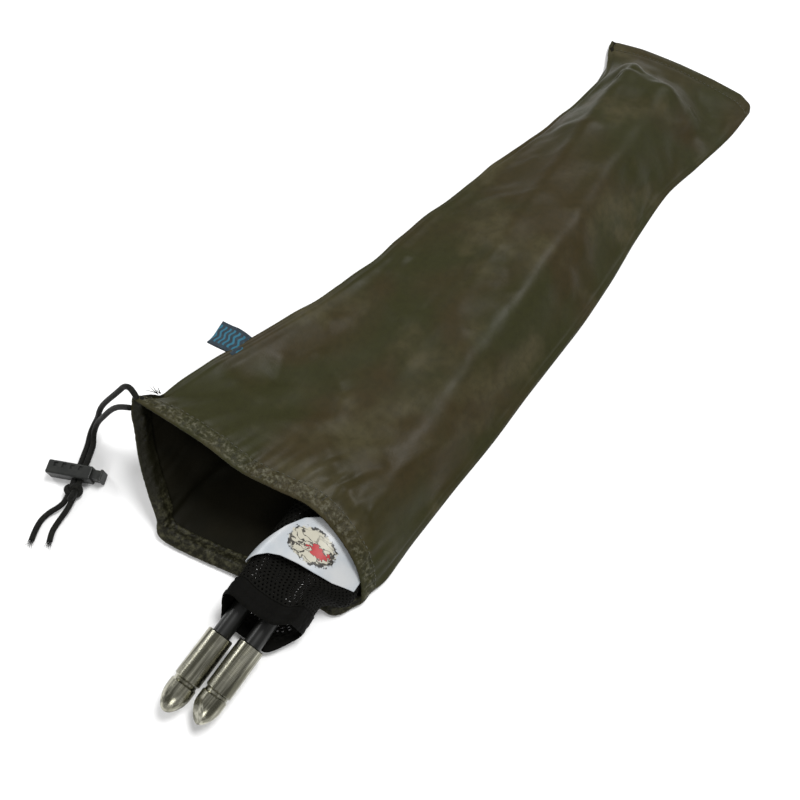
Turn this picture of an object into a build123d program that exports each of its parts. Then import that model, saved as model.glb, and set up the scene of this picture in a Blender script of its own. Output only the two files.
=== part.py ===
from build123d import *
import math
import os

# A folded, corded avalanche probe in its mesh sleeve, lying in an open drawstring sack.
# Millimetres. +Z up, +Y from the sack's mouth to its sewn bottom end, origin at the middle
# of the resting face.

# ---- sack ---------------------------------------------------------------------------
FABRIC = 1.0                # soft shell thickness, coated fabric with its air and folds
SACK_END_Y = 259.5          # sewn bottom end
CASING_R = 2.2              # folded drawcord casing round the mouth
CASING_BORE_R = 1.6
DRAWCORD_R = 1.5
SEWN_IN = 0.3               # panel edges reach this far into the casing's wall
LABEL_SIZE = (12.6, 15.0, 0.6)

# ---- probe --------------------------------------------------------------------------
TUBE_R = 4.8                # six tubes, 9.6 mm outside
TUBE_BORE_R = 4.0
TUBE_LENGTH = 375.0
FERRULE_BORE_R = 2.8
FERRULE_IN = 22.0           # glued into the tube
FERRULE_OUT = 18.0          # stands out of the tube and enters the next one
TIP_R = 7.0                 # end fittings, 14 mm outside
TIP_LENGTH = 42.0
SOCKET_DEPTH = 15.0
WASHER_T = 1.0
TENSION_CORD_R = 1.2
NEAR_END = 30.0             # inner tubes end this far behind the fittings' back faces
HEAD_SETBACK = 4.2          # head fitting sits this far behind the tip fitting

# Bundle frame: X across, Y into the sack, origin on the tip section's axis at the back
# of its fitting. Tube axes, in the order that the tension cord runs through them.
BUNDLE = Pos(28.6, -217.8, 11.2) * Rot(0, 0, 3.5)
LANES = [(0.0, 0.0), (-2.4, 9.7), (7.6, 6.6), (20.2, 8.8), (25.4, 0.0), (15.6, 0.0)]

# ---- sleeve and wrap ----------------------------------------------------------------
MESH = 0.8
HEM = 1.1
SLEEVE_START = 8.0
HEM_WIDTH = 10.0
FLARE_END = 38.0
SLEEVE_END = NEAR_END + TUBE_LENGTH + FERRULE_OUT + 10.5
WRAP = 0.5
WRAP_GAP = 0.4

# ---- cord lock ----------------------------------------------------------------------
LOCK = (25.0, 7.6, 9.0)     # long axis, along the cord, height
LOCK_YAW = 27.0             # long axis from +X
LOCK_CENTRE = (-95.7, -204.4, 4.6)
CROSSING = 4.6              # the cords cross this far right of the body's centre
STRAND_PITCH = 3.2
BUTTON_TRAVEL = 3.5
RUN_GAP = 0.05              # sliding clearance on each side of the plunger


# ---- helpers ------------------------------------------------------------------------
def save(solid, name):
    export_step(solid, f"parts/{name}.step")


def bar(x0, x1, y0, y1, z0, z1):
    """Box between two corners."""
    centre = Pos((x0 + x1) / 2, (y0 + y1) / 2, (z0 + z1) / 2)
    return centre * Box(x1 - x0, y1 - y0, z1 - z0)


def rod(radius, y0, y1, lane=(0.0, 0.0)):
    """Round bar along Y from y0 to y1, in a lane of the bundle."""
    middle = Pos(lane[0], (y0 + y1) / 2, lane[1])
    return middle * Rot(90, 0, 0) * Cylinder(radius, y1 - y0)


def pipe(outer, inner, y0, y1, lane=(0.0, 0.0)):
    return rod(outer, y0, y1, lane) - rod(inner, y0 - 1, y1 + 1, lane)


def bend_radii(points, share=0.45):
    """Largest tangent arc for each corner: a share of its shorter run over tan(half turn)."""
    radii = []
    for before, here, after in zip(points, points[1:], points[2:]):
        run_in = Vector(*here) - Vector(*before)
        run_out = Vector(*after) - Vector(*here)
        turn = run_in.get_angle(run_out)
        radii.append(share * min(run_in.length, run_out.length) / math.tan(math.radians(turn / 2)))
    return radii


def round_cord(path, radius):
    start = Plane(path @ 0, z_dir=path % 0)
    return sweep(start * Circle(radius), path=path)


def report_cord(name, solid, path, radius, radii):
    ideal = path.length * math.pi * radius**2
    print(f"{name}: length {path.length:.1f} mm, volume {solid.volume:.0f} of {ideal:.0f} mm3,",
          "bend radii", [round(r, 1) for r in radii])


# ---- sack ---------------------------------------------------------------------------
# Upper panel outline at stations along Y, from the left ridge seam to the right seam.
UPPER_STATIONS = [
    (-170.0, [(-69, 58), (-32, 50.5), (-8, 44.5), (10, 40.5), (28, 36.5), (45, 33), (60, 26), (69, 14), (75, 2.4)]),
    (-130.0, [(-68, 46), (-32, 42), (-8, 38), (10, 36), (28, 34.5), (45, 32.5), (60, 26), (70, 14), (76, 2)]),
    (-95.0, [(-64, 35), (-34, 35), (-8, 33), (10, 32), (28, 31.5), (42, 31), (57, 24), (69, 12), (76, 1.8)]),
    (-50.0, [(-60, 29), (-34, 31), (-8, 31.5), (10, 31), (26, 30.5), (40, 30), (54, 23), (68, 11), (76, 1.8)]),
    (35.0, [(-48, 20), (-28, 26), (-6, 30), (8, 30.5), (22, 30), (36, 29), (50, 22), (66, 10), (75, 1.8)]),
    (120.0, [(-27, 13), (-14, 23), (-3, 30), (8, 30.5), (20, 30), (32, 29), (46, 21), (62, 9), (73.5, 1.8)]),
    (190.0, [(-24, 8), (-14, 20), (-5, 29.5), (8, 30), (20, 29.5), (30, 28), (44, 18), (60, 8), (72, 1.8)]),
    (219.0, [(-23.5, 6), (-14, 18), (-5, 29), (8, 30), (20, 29.5), (29, 28), (42, 17), (58, 7), (72, 1.8)]),
    (238.0, [(-27, 3.5), (-15, 7), (-5, 10), (8, 11), (20, 10.5), (29, 10), (42, 7), (58, 4.5), (72, 1.8)]),
    (SACK_END_Y, [(-36, 2.6), (-20, 2.6), (-5, 2.8), (8, 3), (20, 3), (29, 2.9), (42, 2.8), (58, 2.7), (72, 1.8)]),
]
# Lower panel: from the ridge seam down the left wall to the floor and across to the right.
LOWER_STATIONS = [
    (-205.0, [(-69, 58), (-58, 31), (-48, 19), (-29, 0), (76, 0)]),
    (-160.0, [(-69, 58), (-58, 31), (-48, 19), (-29, 0), (76, 0)]),
    (-130.0, [(-68, 46), (-57, 26), (-46, 13), (-29, 0), (76, 0)]),
    (-95.0, [(-64, 35), (-55, 19), (-45, 9), (-29, 0), (76, 0)]),
    (-50.0, [(-60, 29), (-53, 15), (-44, 6), (-29, 0), (76, 0)]),
    (35.0, [(-48, 20), (-44, 10), (-38, 4), (-27, 0), (75, 0)]),
    (120.0, [(-27, 13), (-25, 6), (-22, 2), (-16, 0), (73.5, 0)]),
    (219.0, [(-23.5, 6), (-22, 3), (-20, 1), (-15, 0), (72, 0)]),
    (238.0, [(-27, 3.5), (-26, 2), (-24, 0.8), (-20, 0), (72, 0)]),
    (SACK_END_Y, [(-36, 2.6), (-35, 1.6), (-33, 0.6), (-30, 0), (72, 0)]),
]
# Plan view of the mouth's two edges, from the ridge corner to the right corner.
UPPER_MOUTH = [(-69, -160.2, 57.5), (-32.5, -156.2, 50), (-8.9, -154.8, 44), (9.4, -150.6, 40),
               (27.4, -146.1, 36), (44.4, -147.8, 33), (59.9, -152.1, 26), (69, -156.5, 14)]
MOUTH_RIGHT = (74.0, -163.5, 2.6)
LOWER_MOUTH = [(16.5, -189.5, 2.2), (-29, -200.5, 2.2), (-39, -194.5, 10), (-48.5, -187.8, 19),
               (-58, -179.5, 31), (-63.5, -170.5, 45), (-67.2, -166.6, 51.8), (-70.2, -165.4, 53.6)]
FAR = 400.0                 # trimming shapes reach past the sack


def strip_section(outline, y, side):
    """Closed section: the outline and its copy offset to one side by the fabric thickness."""
    inner = []
    for i, (x, z) in enumerate(outline):
        before = outline[max(i - 1, 0)]
        after = outline[min(i + 1, len(outline) - 1)]
        dx, dz = after[0] - before[0], after[1] - before[1]
        length = math.hypot(dx, dz)
        inner.append((x - side * FABRIC * dz / length, z + side * FABRIC * dx / length))
    ring = [(x, y, z) for x, z in outline + inner[::-1]]
    return make_face(Polyline(*ring, close=True))


def mouth_loop():
    """Centre line of the casing: upper rim to the right corner, lower edge, left wall."""
    points = UPPER_MOUTH + [MOUTH_RIGHT] + LOWER_MOUTH
    limits = [min(radius, 30.0) for radius in bend_radii(points, 0.4)]
    return FilletPolyline(*points, radius=limits), limits


def panel(stations, side, mouth):
    """Ruled strip through the stations, trimmed along the mouth's plan view."""
    body = loft([strip_section(outline, y, side) for y, outline in stations], ruled=True)
    edge = [(x, y) for x, y, z in mouth]
    corners = [(-FAR, edge[0][1])] + edge + [(FAR, edge[-1][1]), (FAR, FAR), (-FAR, FAR)]
    body &= extrude(make_face(Polyline(*corners, close=True)), 100)
    body -= round_cord(mouth_loop()[0], CASING_R - SEWN_IN)
    return max(body.solids(), key=lambda solid: solid.volume)


def sack():
    corner = [MOUTH_RIGHT]
    save(panel(UPPER_STATIONS, -1, UPPER_MOUTH + corner), "sack_upper_panel")
    save(panel(LOWER_STATIONS, 1, LOWER_MOUTH[::-1] + corner), "sack_lower_panel")
    path, radii = mouth_loop()
    casing = round_cord(path, CASING_R) - round_cord(path, CASING_BORE_R)
    cord = round_cord(path, DRAWCORD_R)
    report_cord("drawcord in its casing", cord, path, DRAWCORD_R, radii)
    save(casing, "mouth_casing")
    save(cord, "drawcord_in_casing")
    length, width, thick = LABEL_SIZE
    label = Pos(-70.2, -102.0, 36.2) * Rot(0, -12, 8) * Box(length, width, thick)
    save(label, "woven_label")


# ---- drawcord ends, knot and lock ---------------------------------------------------
LOCK_PLACE = Pos(*LOCK_CENTRE) * Rot(0, 0, LOCK_YAW)
# Each end: out of the casing, over a hump, down to the floor, straight through the lock
# and the knot, and out to a loose tail.
HALF = STRAND_PITCH / 2
STRAIGHT_END = 17.0         # the cords run straight from the knot to here, past the lock
KNOT_AT = -11.0
KNOT_SIZE = (9.4, 11.0, 8.8)


def beside_lock(across, along):
    """Point in the row frame from the crossing: across the two cords, along them."""
    spot = LOCK_PLACE * Pos(CROSSING + across, along, 0)
    return tuple(spot.position)


UPPER_STRAND = [
    (-69.0, -160.2, 57.5), (-71.3, -159.8, 59.6), (-74.6, -158.9, 62.9), (-79.0, -160.3, 62.5),
    (-83.2, -165.0, 54.0), (-88.6, -168.6, 44.6), (-93.8, -171.2, 34.5), (-98.2, -173.0, 24.6),
    (-101.6, -174.6, 15.8), (-104.0, -178.2, 9.4), (-104.0, -182.9, 5.6),
    beside_lock(-HALF, STRAIGHT_END), beside_lock(-HALF, -15.5),
    (-87.0, -222.0, 3.0), (-90.0, -228.2, 1.6), (-89.8, -235.8, 1.6), (-85.6, -243.3, 1.6)]
LOWER_STRAND = [
    (-70.2, -165.4, 53.6), (-73.6, -165.4, 53.0), (-79.4, -167.0, 48.2), (-85.6, -169.9, 39.4),
    (-91.0, -172.8, 29.4), (-95.6, -174.8, 22.6), (-99.2, -176.8, 16.2), (-101.2, -179.2, 10.8),
    (-101.0, -182.8, 6.6), beside_lock(HALF, STRAIGHT_END), beside_lock(HALF, -15.5),
    (-82.0, -223.0, 3.2), (-81.8, -229.2, 1.6), (-80.6, -234.0, 1.6), (-77.6, -238.0, 1.6)]


def drawcord_ends():
    for name, points in (("drawcord_strand_upper", UPPER_STRAND), ("drawcord_strand_lower", LOWER_STRAND)):
        radii = bend_radii(points)
        path = FilletPolyline(*points, radius=radii)
        strand = round_cord(path, DRAWCORD_R)
        report_cord(name, strand, path, DRAWCORD_R, radii)
        save(strand, name)
    knot = Box(*KNOT_SIZE)
    knot = fillet(knot.edges(), 3.2)
    save(LOCK_PLACE * Pos(CROSSING, KNOT_AT, 0) * knot, "drawcord_knot")


def cord_lock():
    long, wide, high = LOCK
    half = long / 2
    stem = (5.0, 6.4)                                   # plunger section: along the cord, height
    left = CROSSING - HALF - DRAWCORD_R - 0.1           # both cords side by side, just clear
    right = CROSSING + HALF + DRAWCORD_R + 0.1
    tall = DRAWCORD_R + 0.1
    spring_seat, stem_end = -half + 3.5, -3.0

    body = fillet(Box(long, wide, high).edges(), 0.9)
    body -= bar(left, right, -wide, wide, -tall, tall)
    body -= bar(spring_seat, half + 1, -stem[0] / 2 - RUN_GAP, stem[0] / 2 + RUN_GAP,
                -stem[1] / 2 - RUN_GAP, stem[1] / 2 + RUN_GAP)
    for i in range(4):                                  # moulded recesses in the top face
        x = -half + 3.6 + 4.6 * i
        body -= bar(x, x + 2.2, 0.2, 2.6, high / 2 - 0.7, high)
    save(LOCK_PLACE * body, "cord_lock_body")

    plunger = bar(stem_end, half + 4.9, -stem[0] / 2, stem[0] / 2, -stem[1] / 2, stem[1] / 2)
    plunger -= bar(left, right + BUTTON_TRAVEL, -wide, wide, -tall, tall)
    cap = Pos(half + 4.9, 0, 0) * fillet(Box(1.6, 6.4, 7.8).edges(), 0.6)
    save(LOCK_PLACE * (plunger + cap), "cord_lock_plunger")

    turns, wire, coil_r = 4, 0.25, 2.1
    rest = stem_end - spring_seat
    helix = Helix(pitch=(rest - 2 * wire) / turns, height=rest - 2 * wire, radius=coil_r)
    spring = sweep(Plane(helix @ 0, z_dir=helix % 0) * Circle(wire), path=helix)
    spring = Pos(spring_seat + wire, 0, 0) * Rot(0, 90, 0) * spring
    save(LOCK_PLACE * spring, "cord_lock_spring")


# ---- probe --------------------------------------------------------------------------
def tube_span(index):
    """Start and end along the bundle of tube 1 to 6. Its ferrule is at the far end when odd."""
    if index == 1:
        start = WASHER_T - SOCKET_DEPTH
    elif index == 6:
        start = WASHER_T - SOCKET_DEPTH + HEAD_SETBACK
    elif index % 2:
        start = NEAR_END
    else:
        start = NEAR_END + FERRULE_OUT
    return start, start + TUBE_LENGTH


def ferrule_span(index):
    start, end = tube_span(index)
    if index % 2:
        return end - FERRULE_IN, end + FERRULE_OUT
    return start - FERRULE_OUT, start + FERRULE_IN


def probe_sections():
    for index, lane in enumerate(LANES, start=1):
        tube = pipe(TUBE_R, TUBE_BORE_R, *tube_span(index), lane)
        tube = chamfer(tube.edges().filter_by(GeomType.CIRCLE), 0.2)
        save(BUNDLE * tube, f"probe_section_{index}")
        if index < 6:
            ferrule = pipe(TUBE_BORE_R, FERRULE_BORE_R, *ferrule_span(index), lane)
            ferrule = chamfer(ferrule.edges().filter_by(GeomType.CIRCLE), 0.3)
            save(BUNDLE * ferrule, f"insert_ferrule_{index}")


def end_fitting(flat_turn):
    """Turned fitting, back face at Y 0, nose towards -Y, with one oblique flat on the nose."""
    barrel, neck, collar = 25.0, 27.0, 30.8             # ends of the barrel, groove and collar
    line = Polyline((0, 0), (TIP_R - 0.5, 0), (TIP_R, -0.5), (TIP_R, -barrel),
                    (6.1, -barrel - 0.9), (6.1, -neck), (6.9, -neck - 0.8), (6.9, -collar))
    nose = ThreePointArc((6.9, -collar), (5.9, -36.4), (3.6, -40.4))
    end = ThreePointArc((3.6, -40.4), (2.0, -41.6), (0, -TIP_LENGTH))
    outline = make_face(line + nose + end + Line((0, -TIP_LENGTH), (0, 0)))
    fitting = revolve(outline, Axis.Y)
    fitting -= rod(TUBE_R, -SOCKET_DEPTH, 1)
    fitting -= rod(TUBE_BORE_R, -SOCKET_DEPTH - 8.5, -SOCKET_DEPTH + 1)
    slab = bar(-12, 12, -30, 10, 0, 12)
    cutter = Rot(0, flat_turn, 0) * Pos(0, -37.0, 3.0) * Rot(36, 0, 0) * slab
    cutter &= bar(-20, 20, -50, -collar - 0.4, -20, 20)
    return fitting - cutter


def end_fittings():
    spots = (("tip", LANES[0], 0.0, 150.0), ("head", LANES[5], HEAD_SETBACK, -38.0))
    for name, lane, setback, flat_turn in spots:
        place = BUNDLE * Pos(lane[0], setback, lane[1])
        save(place * end_fitting(flat_turn), f"{name}_end_fitting")
        washer = pipe(TUBE_R - 0.05, 1.6, -SOCKET_DEPTH, -SOCKET_DEPTH + WASHER_T)
        save(place * washer, f"{name}_cord_washer")
        knot = Pos(0, -SOCKET_DEPTH - 3.1, 0) * fillet(Box(5.2, 5.4, 5.2).edges(), 2.0)
        save(place * knot, f"{name}_cord_knot")


def tension_cord():
    """One cord through all six tubes, with a loop outside each pair of ends."""
    near = NEAR_END - 6.5
    far = NEAR_END + TUBE_LENGTH + FERRULE_OUT + 6.5
    points = [(LANES[0][0], -SOCKET_DEPTH - 0.1, LANES[0][1])]
    for index in range(5):
        turn = near if index % 2 else far
        for lane in (LANES[index], LANES[index + 1]):
            points.append((lane[0], turn, lane[1]))
    points.append((LANES[5][0], HEAD_SETBACK - SOCKET_DEPTH - 0.1, LANES[5][1]))
    radii = []
    for index in range(5):
        pitch = math.dist(LANES[index], LANES[index + 1])
        radii += [0.46 * pitch] * 2
    path = FilletPolyline(*points, radius=radii)
    cord = round_cord(path, TENSION_CORD_R)
    report_cord("tension cord", cord, path, TENSION_CORD_R, radii)
    save(BUNDLE * cord, "tension_cord")


# ---- sleeve and wrap ----------------------------------------------------------------
# Inner outline of the sleeve across the bundle: snug at the hem, wider further in.
SNUG = [(-5.5, -5.3), (29.6, -5.3), (30.8, -4.2), (31.0, 2.2), (25.5, 12.9), (21.2, 14.5),
        (-4.5, 15.1), (-8.0, 12.6), (-8.0, 8.0)]
WIDE = [(-5.5, -5.3), (37.5, -5.3), (40.0, -4.2), (39.0, 1.5), (26.8, 12.8), (21.5, 14.6),
        (-4.5, 15.1), (-8.0, 12.6), (-8.0, 8.0)]


def ring(outline, y, grow):
    """Closed outline across the bundle at y, grown outwards."""
    face = make_face(Polyline(*outline, close=True))
    grown = offset(face, grow, kind=Kind.INTERSECTION) if grow else face
    return Plane((0, y, 0), x_dir=(1, 0, 0), z_dir=(0, -1, 0)) * grown


def sleeve_skin(grow, start, end):
    stations = [ring(SNUG, start, grow), ring(SNUG, SLEEVE_START + HEM_WIDTH, grow),
                ring(WIDE, FLARE_END, grow), ring(WIDE, end, grow)]
    return loft(stations, ruled=True)


def mesh_sleeve():
    hem_end = SLEEVE_START + HEM_WIDTH
    outer = sleeve_skin(MESH, SLEEVE_START - 5, SLEEVE_END + MESH)
    inner = sleeve_skin(0, SLEEVE_START - 6, SLEEVE_END)
    behind_hem = bar(-90, 90, hem_end, 600, -40, 60)
    save(BUNDLE * ((outer - inner) & behind_hem), "mesh_sleeve")
    hem = loft([ring(SNUG, y, HEM) for y in (SLEEVE_START, hem_end)], ruled=True)
    hem -= loft([ring(SNUG, y, 0) for y in (SLEEVE_START - 1, hem_end + 1)], ruled=True)
    hem &= bar(-90, 90, -40, 100, -5.3 - MESH, 60)
    save(BUNDLE * hem, "mesh_sleeve_hem")


def printed_wrap():
    """Card bent over the sleeve's top and sides, its left side cut to a point."""
    inner_grow = MESH + WRAP_GAP
    shells = []
    for grow in (inner_grow + WRAP, inner_grow):
        shells.append(loft([ring(WIDE, y, grow) for y in (20, 140)], ruled=True))
    card = shells[0] - shells[1]
    left_end, right_end = 9.0, 2.0                      # heights at which the card's two sides end
    card &= bar(-90, 0, 0, 200, left_end, 60) + bar(0, 90, 0, 200, right_end, 60)
    near = [(-13, 35.0), (-3, 42.5), (6, 45.2), (20, 46.8), (34, 49.0), (46, 54.5)]
    far = [(46, 79.0), (30, 75.5), (16, 73.0), (6, 69.5), (-1, 60.0), (-5, 49.0), (-13, 40.0)]
    plan = make_face(Polyline(*near, *far, close=True))
    card &= Pos(0, 0, -20) * extrude(plan, 80)
    save(BUNDLE * card, "printed_wrap")


def main():
    os.makedirs("parts", exist_ok=True)
    sack()
    drawcord_ends()
    cord_lock()
    probe_sections()
    end_fittings()
    tension_cord()
    mesh_sleeve()
    printed_wrap()


main()
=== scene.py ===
"""Drawstring sack with a folded, corded avalanche probe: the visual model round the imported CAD."""
import math
import random

import bpy
import bmesh
import numpy as np
from mathutils import Matrix, Vector, noise


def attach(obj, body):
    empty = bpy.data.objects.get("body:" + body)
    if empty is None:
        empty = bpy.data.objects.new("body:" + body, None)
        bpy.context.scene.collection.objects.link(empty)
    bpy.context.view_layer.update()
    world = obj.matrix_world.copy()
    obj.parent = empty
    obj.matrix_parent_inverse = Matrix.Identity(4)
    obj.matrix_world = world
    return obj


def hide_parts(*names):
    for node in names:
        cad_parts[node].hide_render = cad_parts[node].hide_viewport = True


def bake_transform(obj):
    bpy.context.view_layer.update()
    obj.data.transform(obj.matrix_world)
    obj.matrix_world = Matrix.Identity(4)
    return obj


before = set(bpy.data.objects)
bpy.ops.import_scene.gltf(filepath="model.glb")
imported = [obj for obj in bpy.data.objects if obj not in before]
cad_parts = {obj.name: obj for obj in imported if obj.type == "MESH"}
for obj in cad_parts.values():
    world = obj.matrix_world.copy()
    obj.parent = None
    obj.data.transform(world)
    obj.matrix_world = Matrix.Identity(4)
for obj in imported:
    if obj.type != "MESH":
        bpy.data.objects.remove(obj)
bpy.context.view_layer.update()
MM = 0.001


# ---- camera -------------------------------------------------------------------------
def make_camera():
    data = bpy.data.cameras.new("camera")
    data.lens, data.sensor_width = 36.0, 36.0
    cam = bpy.data.objects.new("camera", data)
    bpy.context.scene.collection.objects.link(cam)
    cam.location = (0.1367, -0.2159, 0.411)
    cam.rotation_euler = (math.radians(25.5), 0, math.radians(37.6))
    bpy.context.scene.camera = cam


# ---- small geometry helpers -----------------------------------------------------------
def add_object(name, data):
    obj = bpy.data.objects.new(name, data)
    bpy.context.scene.collection.objects.link(obj)
    return obj


def catmull_rom(a, b, c, d, t):
    """Point at a share t of the way from b to c."""
    return 0.5 * (2 * b + (c - a) * t + (2 * a - 5 * b + 4 * c - d) * t**2
                  + (3 * b - a - 3 * c + d) * t**3)


def spline(points, closed=False, steps=24):
    """Catmull-Rom curve through the points, as a dense array."""
    p = np.asarray(points, float)
    if closed:
        p = np.vstack([p[-1:], p, p[:2]])
    else:
        p = np.vstack([2 * p[:1] - p[1:2], p, 2 * p[-1:] - p[-2:-1]])
    t = np.linspace(0, 1, steps, endpoint=False)[:, None]
    parts = []
    for a, b, c, d in zip(p, p[1:], p[2:], p[3:]):
        parts.append(catmull_rom(a, b, c, d, t))
    return np.vstack(parts + [p[-2:-1]])


def run_length(points):
    """Distance along a line of points, at each of them."""
    return np.concatenate([[0], np.cumsum(np.linalg.norm(np.diff(points, axis=0), axis=1))])


def unit(vectors):
    return vectors / np.linalg.norm(vectors, axis=-1, keepdims=True)


def placed_by(matrix, points):
    m = np.array(matrix)
    return points @ m[:3, :3].T + m[:3, 3]


def resample(curve, count):
    """count points at equal steps along a dense curve, its ends among them."""
    length = run_length(curve)
    at = np.linspace(0, length[-1], count)
    return np.stack([np.interp(at, length, curve[:, k]) for k in range(curve.shape[1])], axis=1)


def smooth_step(x):
    x = np.clip(x, 0, 1)
    return x * x * (3 - 2 * x)


def cubic_rows(stations, values, at):
    """Smooth interpolation along the first axis of values, known at stations, without overshoot."""
    s, v = np.asarray(stations, float), np.asarray(values, float)
    h = np.diff(s)
    slope = np.diff(v, axis=0) / h.reshape(-1, *[1] * (v.ndim - 1))
    tangent = np.zeros_like(v)
    tangent[0], tangent[-1] = slope[0], slope[-1]
    product = slope[:-1] * slope[1:]
    mean = 2 * product / np.where(np.abs(slope[:-1] + slope[1:]) < 1e-9, 1e-9, slope[:-1] + slope[1:])
    tangent[1:-1] = np.where(product > 0, mean, 0)
    k = np.clip(np.searchsorted(s, at) - 1, 0, len(h) - 1)
    t = np.clip((at - s[k]) / h[k], 0, 1)
    return k, t, h[k], v, tangent


def hermite(k, t, h, v, m, column):
    v0, v1, m0, m1 = v[k, column], v[k + 1, column], m[k, column], m[k + 1, column]
    t, h = t[:, None], h[:, None]
    return ((2 * t**3 - 3 * t**2 + 1) * v0 + (t**3 - 2 * t**2 + t) * h * m0
            + (3 * t**2 - 2 * t**3) * v1 + (t**3 - t**2) * h * m1)


def grid_mesh(name, points, around=False, uv=None, flip=False):
    """Quad mesh from an array of points (columns, rows, 3), in millimetres."""
    nu, nv = points.shape[:2]
    index = np.arange(nu * nv).reshape(nu, nv)
    nxt = np.roll(index, -1, axis=0) if around else index[1:]
    cur = index if around else index[:-1]
    quads = np.stack([cur[:, :-1], nxt[:, :-1], nxt[:, 1:], cur[:, 1:]], axis=-1).reshape(-1, 4)
    if flip:
        quads = quads[:, ::-1]
    mesh = bpy.data.meshes.new(name)
    mesh.from_pydata((points.reshape(-1, 3) * MM).tolist(), [], quads.tolist())
    if uv is not None:
        layer = mesh.uv_layers.new(name="cloth")
        corner = np.zeros(len(mesh.loops), np.int64)
        mesh.loops.foreach_get("vertex_index", corner)
        flat = uv.reshape(-1, 2)[corner]
        if around:                                      # the column that closes the ring
            width = uv[-1, 0, 0] + uv[1, 0, 0] - uv[0, 0, 0]
            face = flat.reshape(-1, 4, 2)
            wrap = (face[:, :, 0].max(axis=1) - face[:, :, 0].min(axis=1)) > 0.5 * width
            low = face[:, :, 0] < 0.25 * width
            face[:, :, 0] += (wrap[:, None] & low) * width
            flat = face.reshape(-1, 2)
        layer.data.foreach_set("uv", flat.astype(np.float32).ravel())
    mesh.shade_smooth()
    return add_object(name, mesh)


def apply_modifiers(obj):
    bpy.context.view_layer.update()
    graph = bpy.context.evaluated_depsgraph_get()
    made = bpy.data.meshes.new_from_object(obj.evaluated_get(graph))
    obj.modifiers.clear()
    obj.data = made
    return obj


def solidify(obj, thickness, offset=-1.0, inside=None):
    mod = obj.modifiers.new("thickness", "SOLIDIFY")
    if inside:
        for material in inside:
            obj.data.materials.append(material)
        mod.material_offset = 1
    mod.thickness, mod.offset, mod.use_even_offset = thickness * MM, offset, False
    return apply_modifiers(obj)


def grid_normals(p, around):
    """Unit normals of a grid of points, facing away from the ring's inside."""
    if around:
        du = np.roll(p, -1, axis=0) - np.roll(p, 1, axis=0)
    else:
        du = np.gradient(p, axis=0)
    dv = np.gradient(p, axis=1)
    n = np.cross(du, dv)
    return n / np.maximum(np.linalg.norm(n, axis=2, keepdims=True), 1e-9)


def tube_mesh(name, path, radius_at, sides=20, closed=False):
    """Mesh tube round a path (mm). radius_at(length, angle) gives the surface's radius."""
    p = np.asarray(path, float)
    if closed:
        tangent = np.roll(p, -1, axis=0) - np.roll(p, 1, axis=0)
    else:
        tangent = np.gradient(p, axis=0)
    tangent = unit(tangent)
    length = run_length(p)
    side = np.cross(tangent[0], (0.13, 0.27, 0.95))
    side /= np.linalg.norm(side)
    sides_along = []
    for t in tangent:
        side = side - t * side.dot(t)
        side /= np.linalg.norm(side)
        sides_along.append(side)
    a = np.array(sides_along)
    twist = np.zeros(len(p))
    if closed:                                          # spread what is left over round the loop
        first = np.cross(tangent[0], a[0])
        left = math.atan2(a[-1].dot(first), a[-1].dot(a[0]))
        twist = -left * length / length[-1]
    b = np.cross(tangent, a)
    angle = np.linspace(0, 2 * math.pi, sides, endpoint=False)
    full = angle[None, :] + twist[:, None]
    r = np.broadcast_to(radius_at(length[:, None], angle[None, :]), full.shape)
    ring = np.cos(full)[..., None] * a[:, None] + np.sin(full)[..., None] * b[:, None]
    points = np.transpose(p[:, None] + r[..., None] * ring, (1, 0, 2))
    if closed:
        points = np.concatenate([points, points[:, :1]], axis=1)
    obj = grid_mesh(name, points, around=True, flip=True)
    if not closed:
        bm = bmesh.new()
        bm.from_mesh(obj.data)
        bmesh.ops.holes_fill(bm, edges=[e for e in bm.edges if e.is_boundary], sides=0)
        bm.to_mesh(obj.data)
        bm.free()
    obj.data.shade_smooth()
    return obj


def join(name, objects):
    bm = bmesh.new()
    for obj in objects:
        bm.from_mesh(obj.data)
        bpy.data.objects.remove(obj)
    mesh = bpy.data.meshes.new(name)
    bm.to_mesh(mesh)
    bm.free()
    mesh.shade_smooth()
    return add_object(name, mesh)


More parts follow.
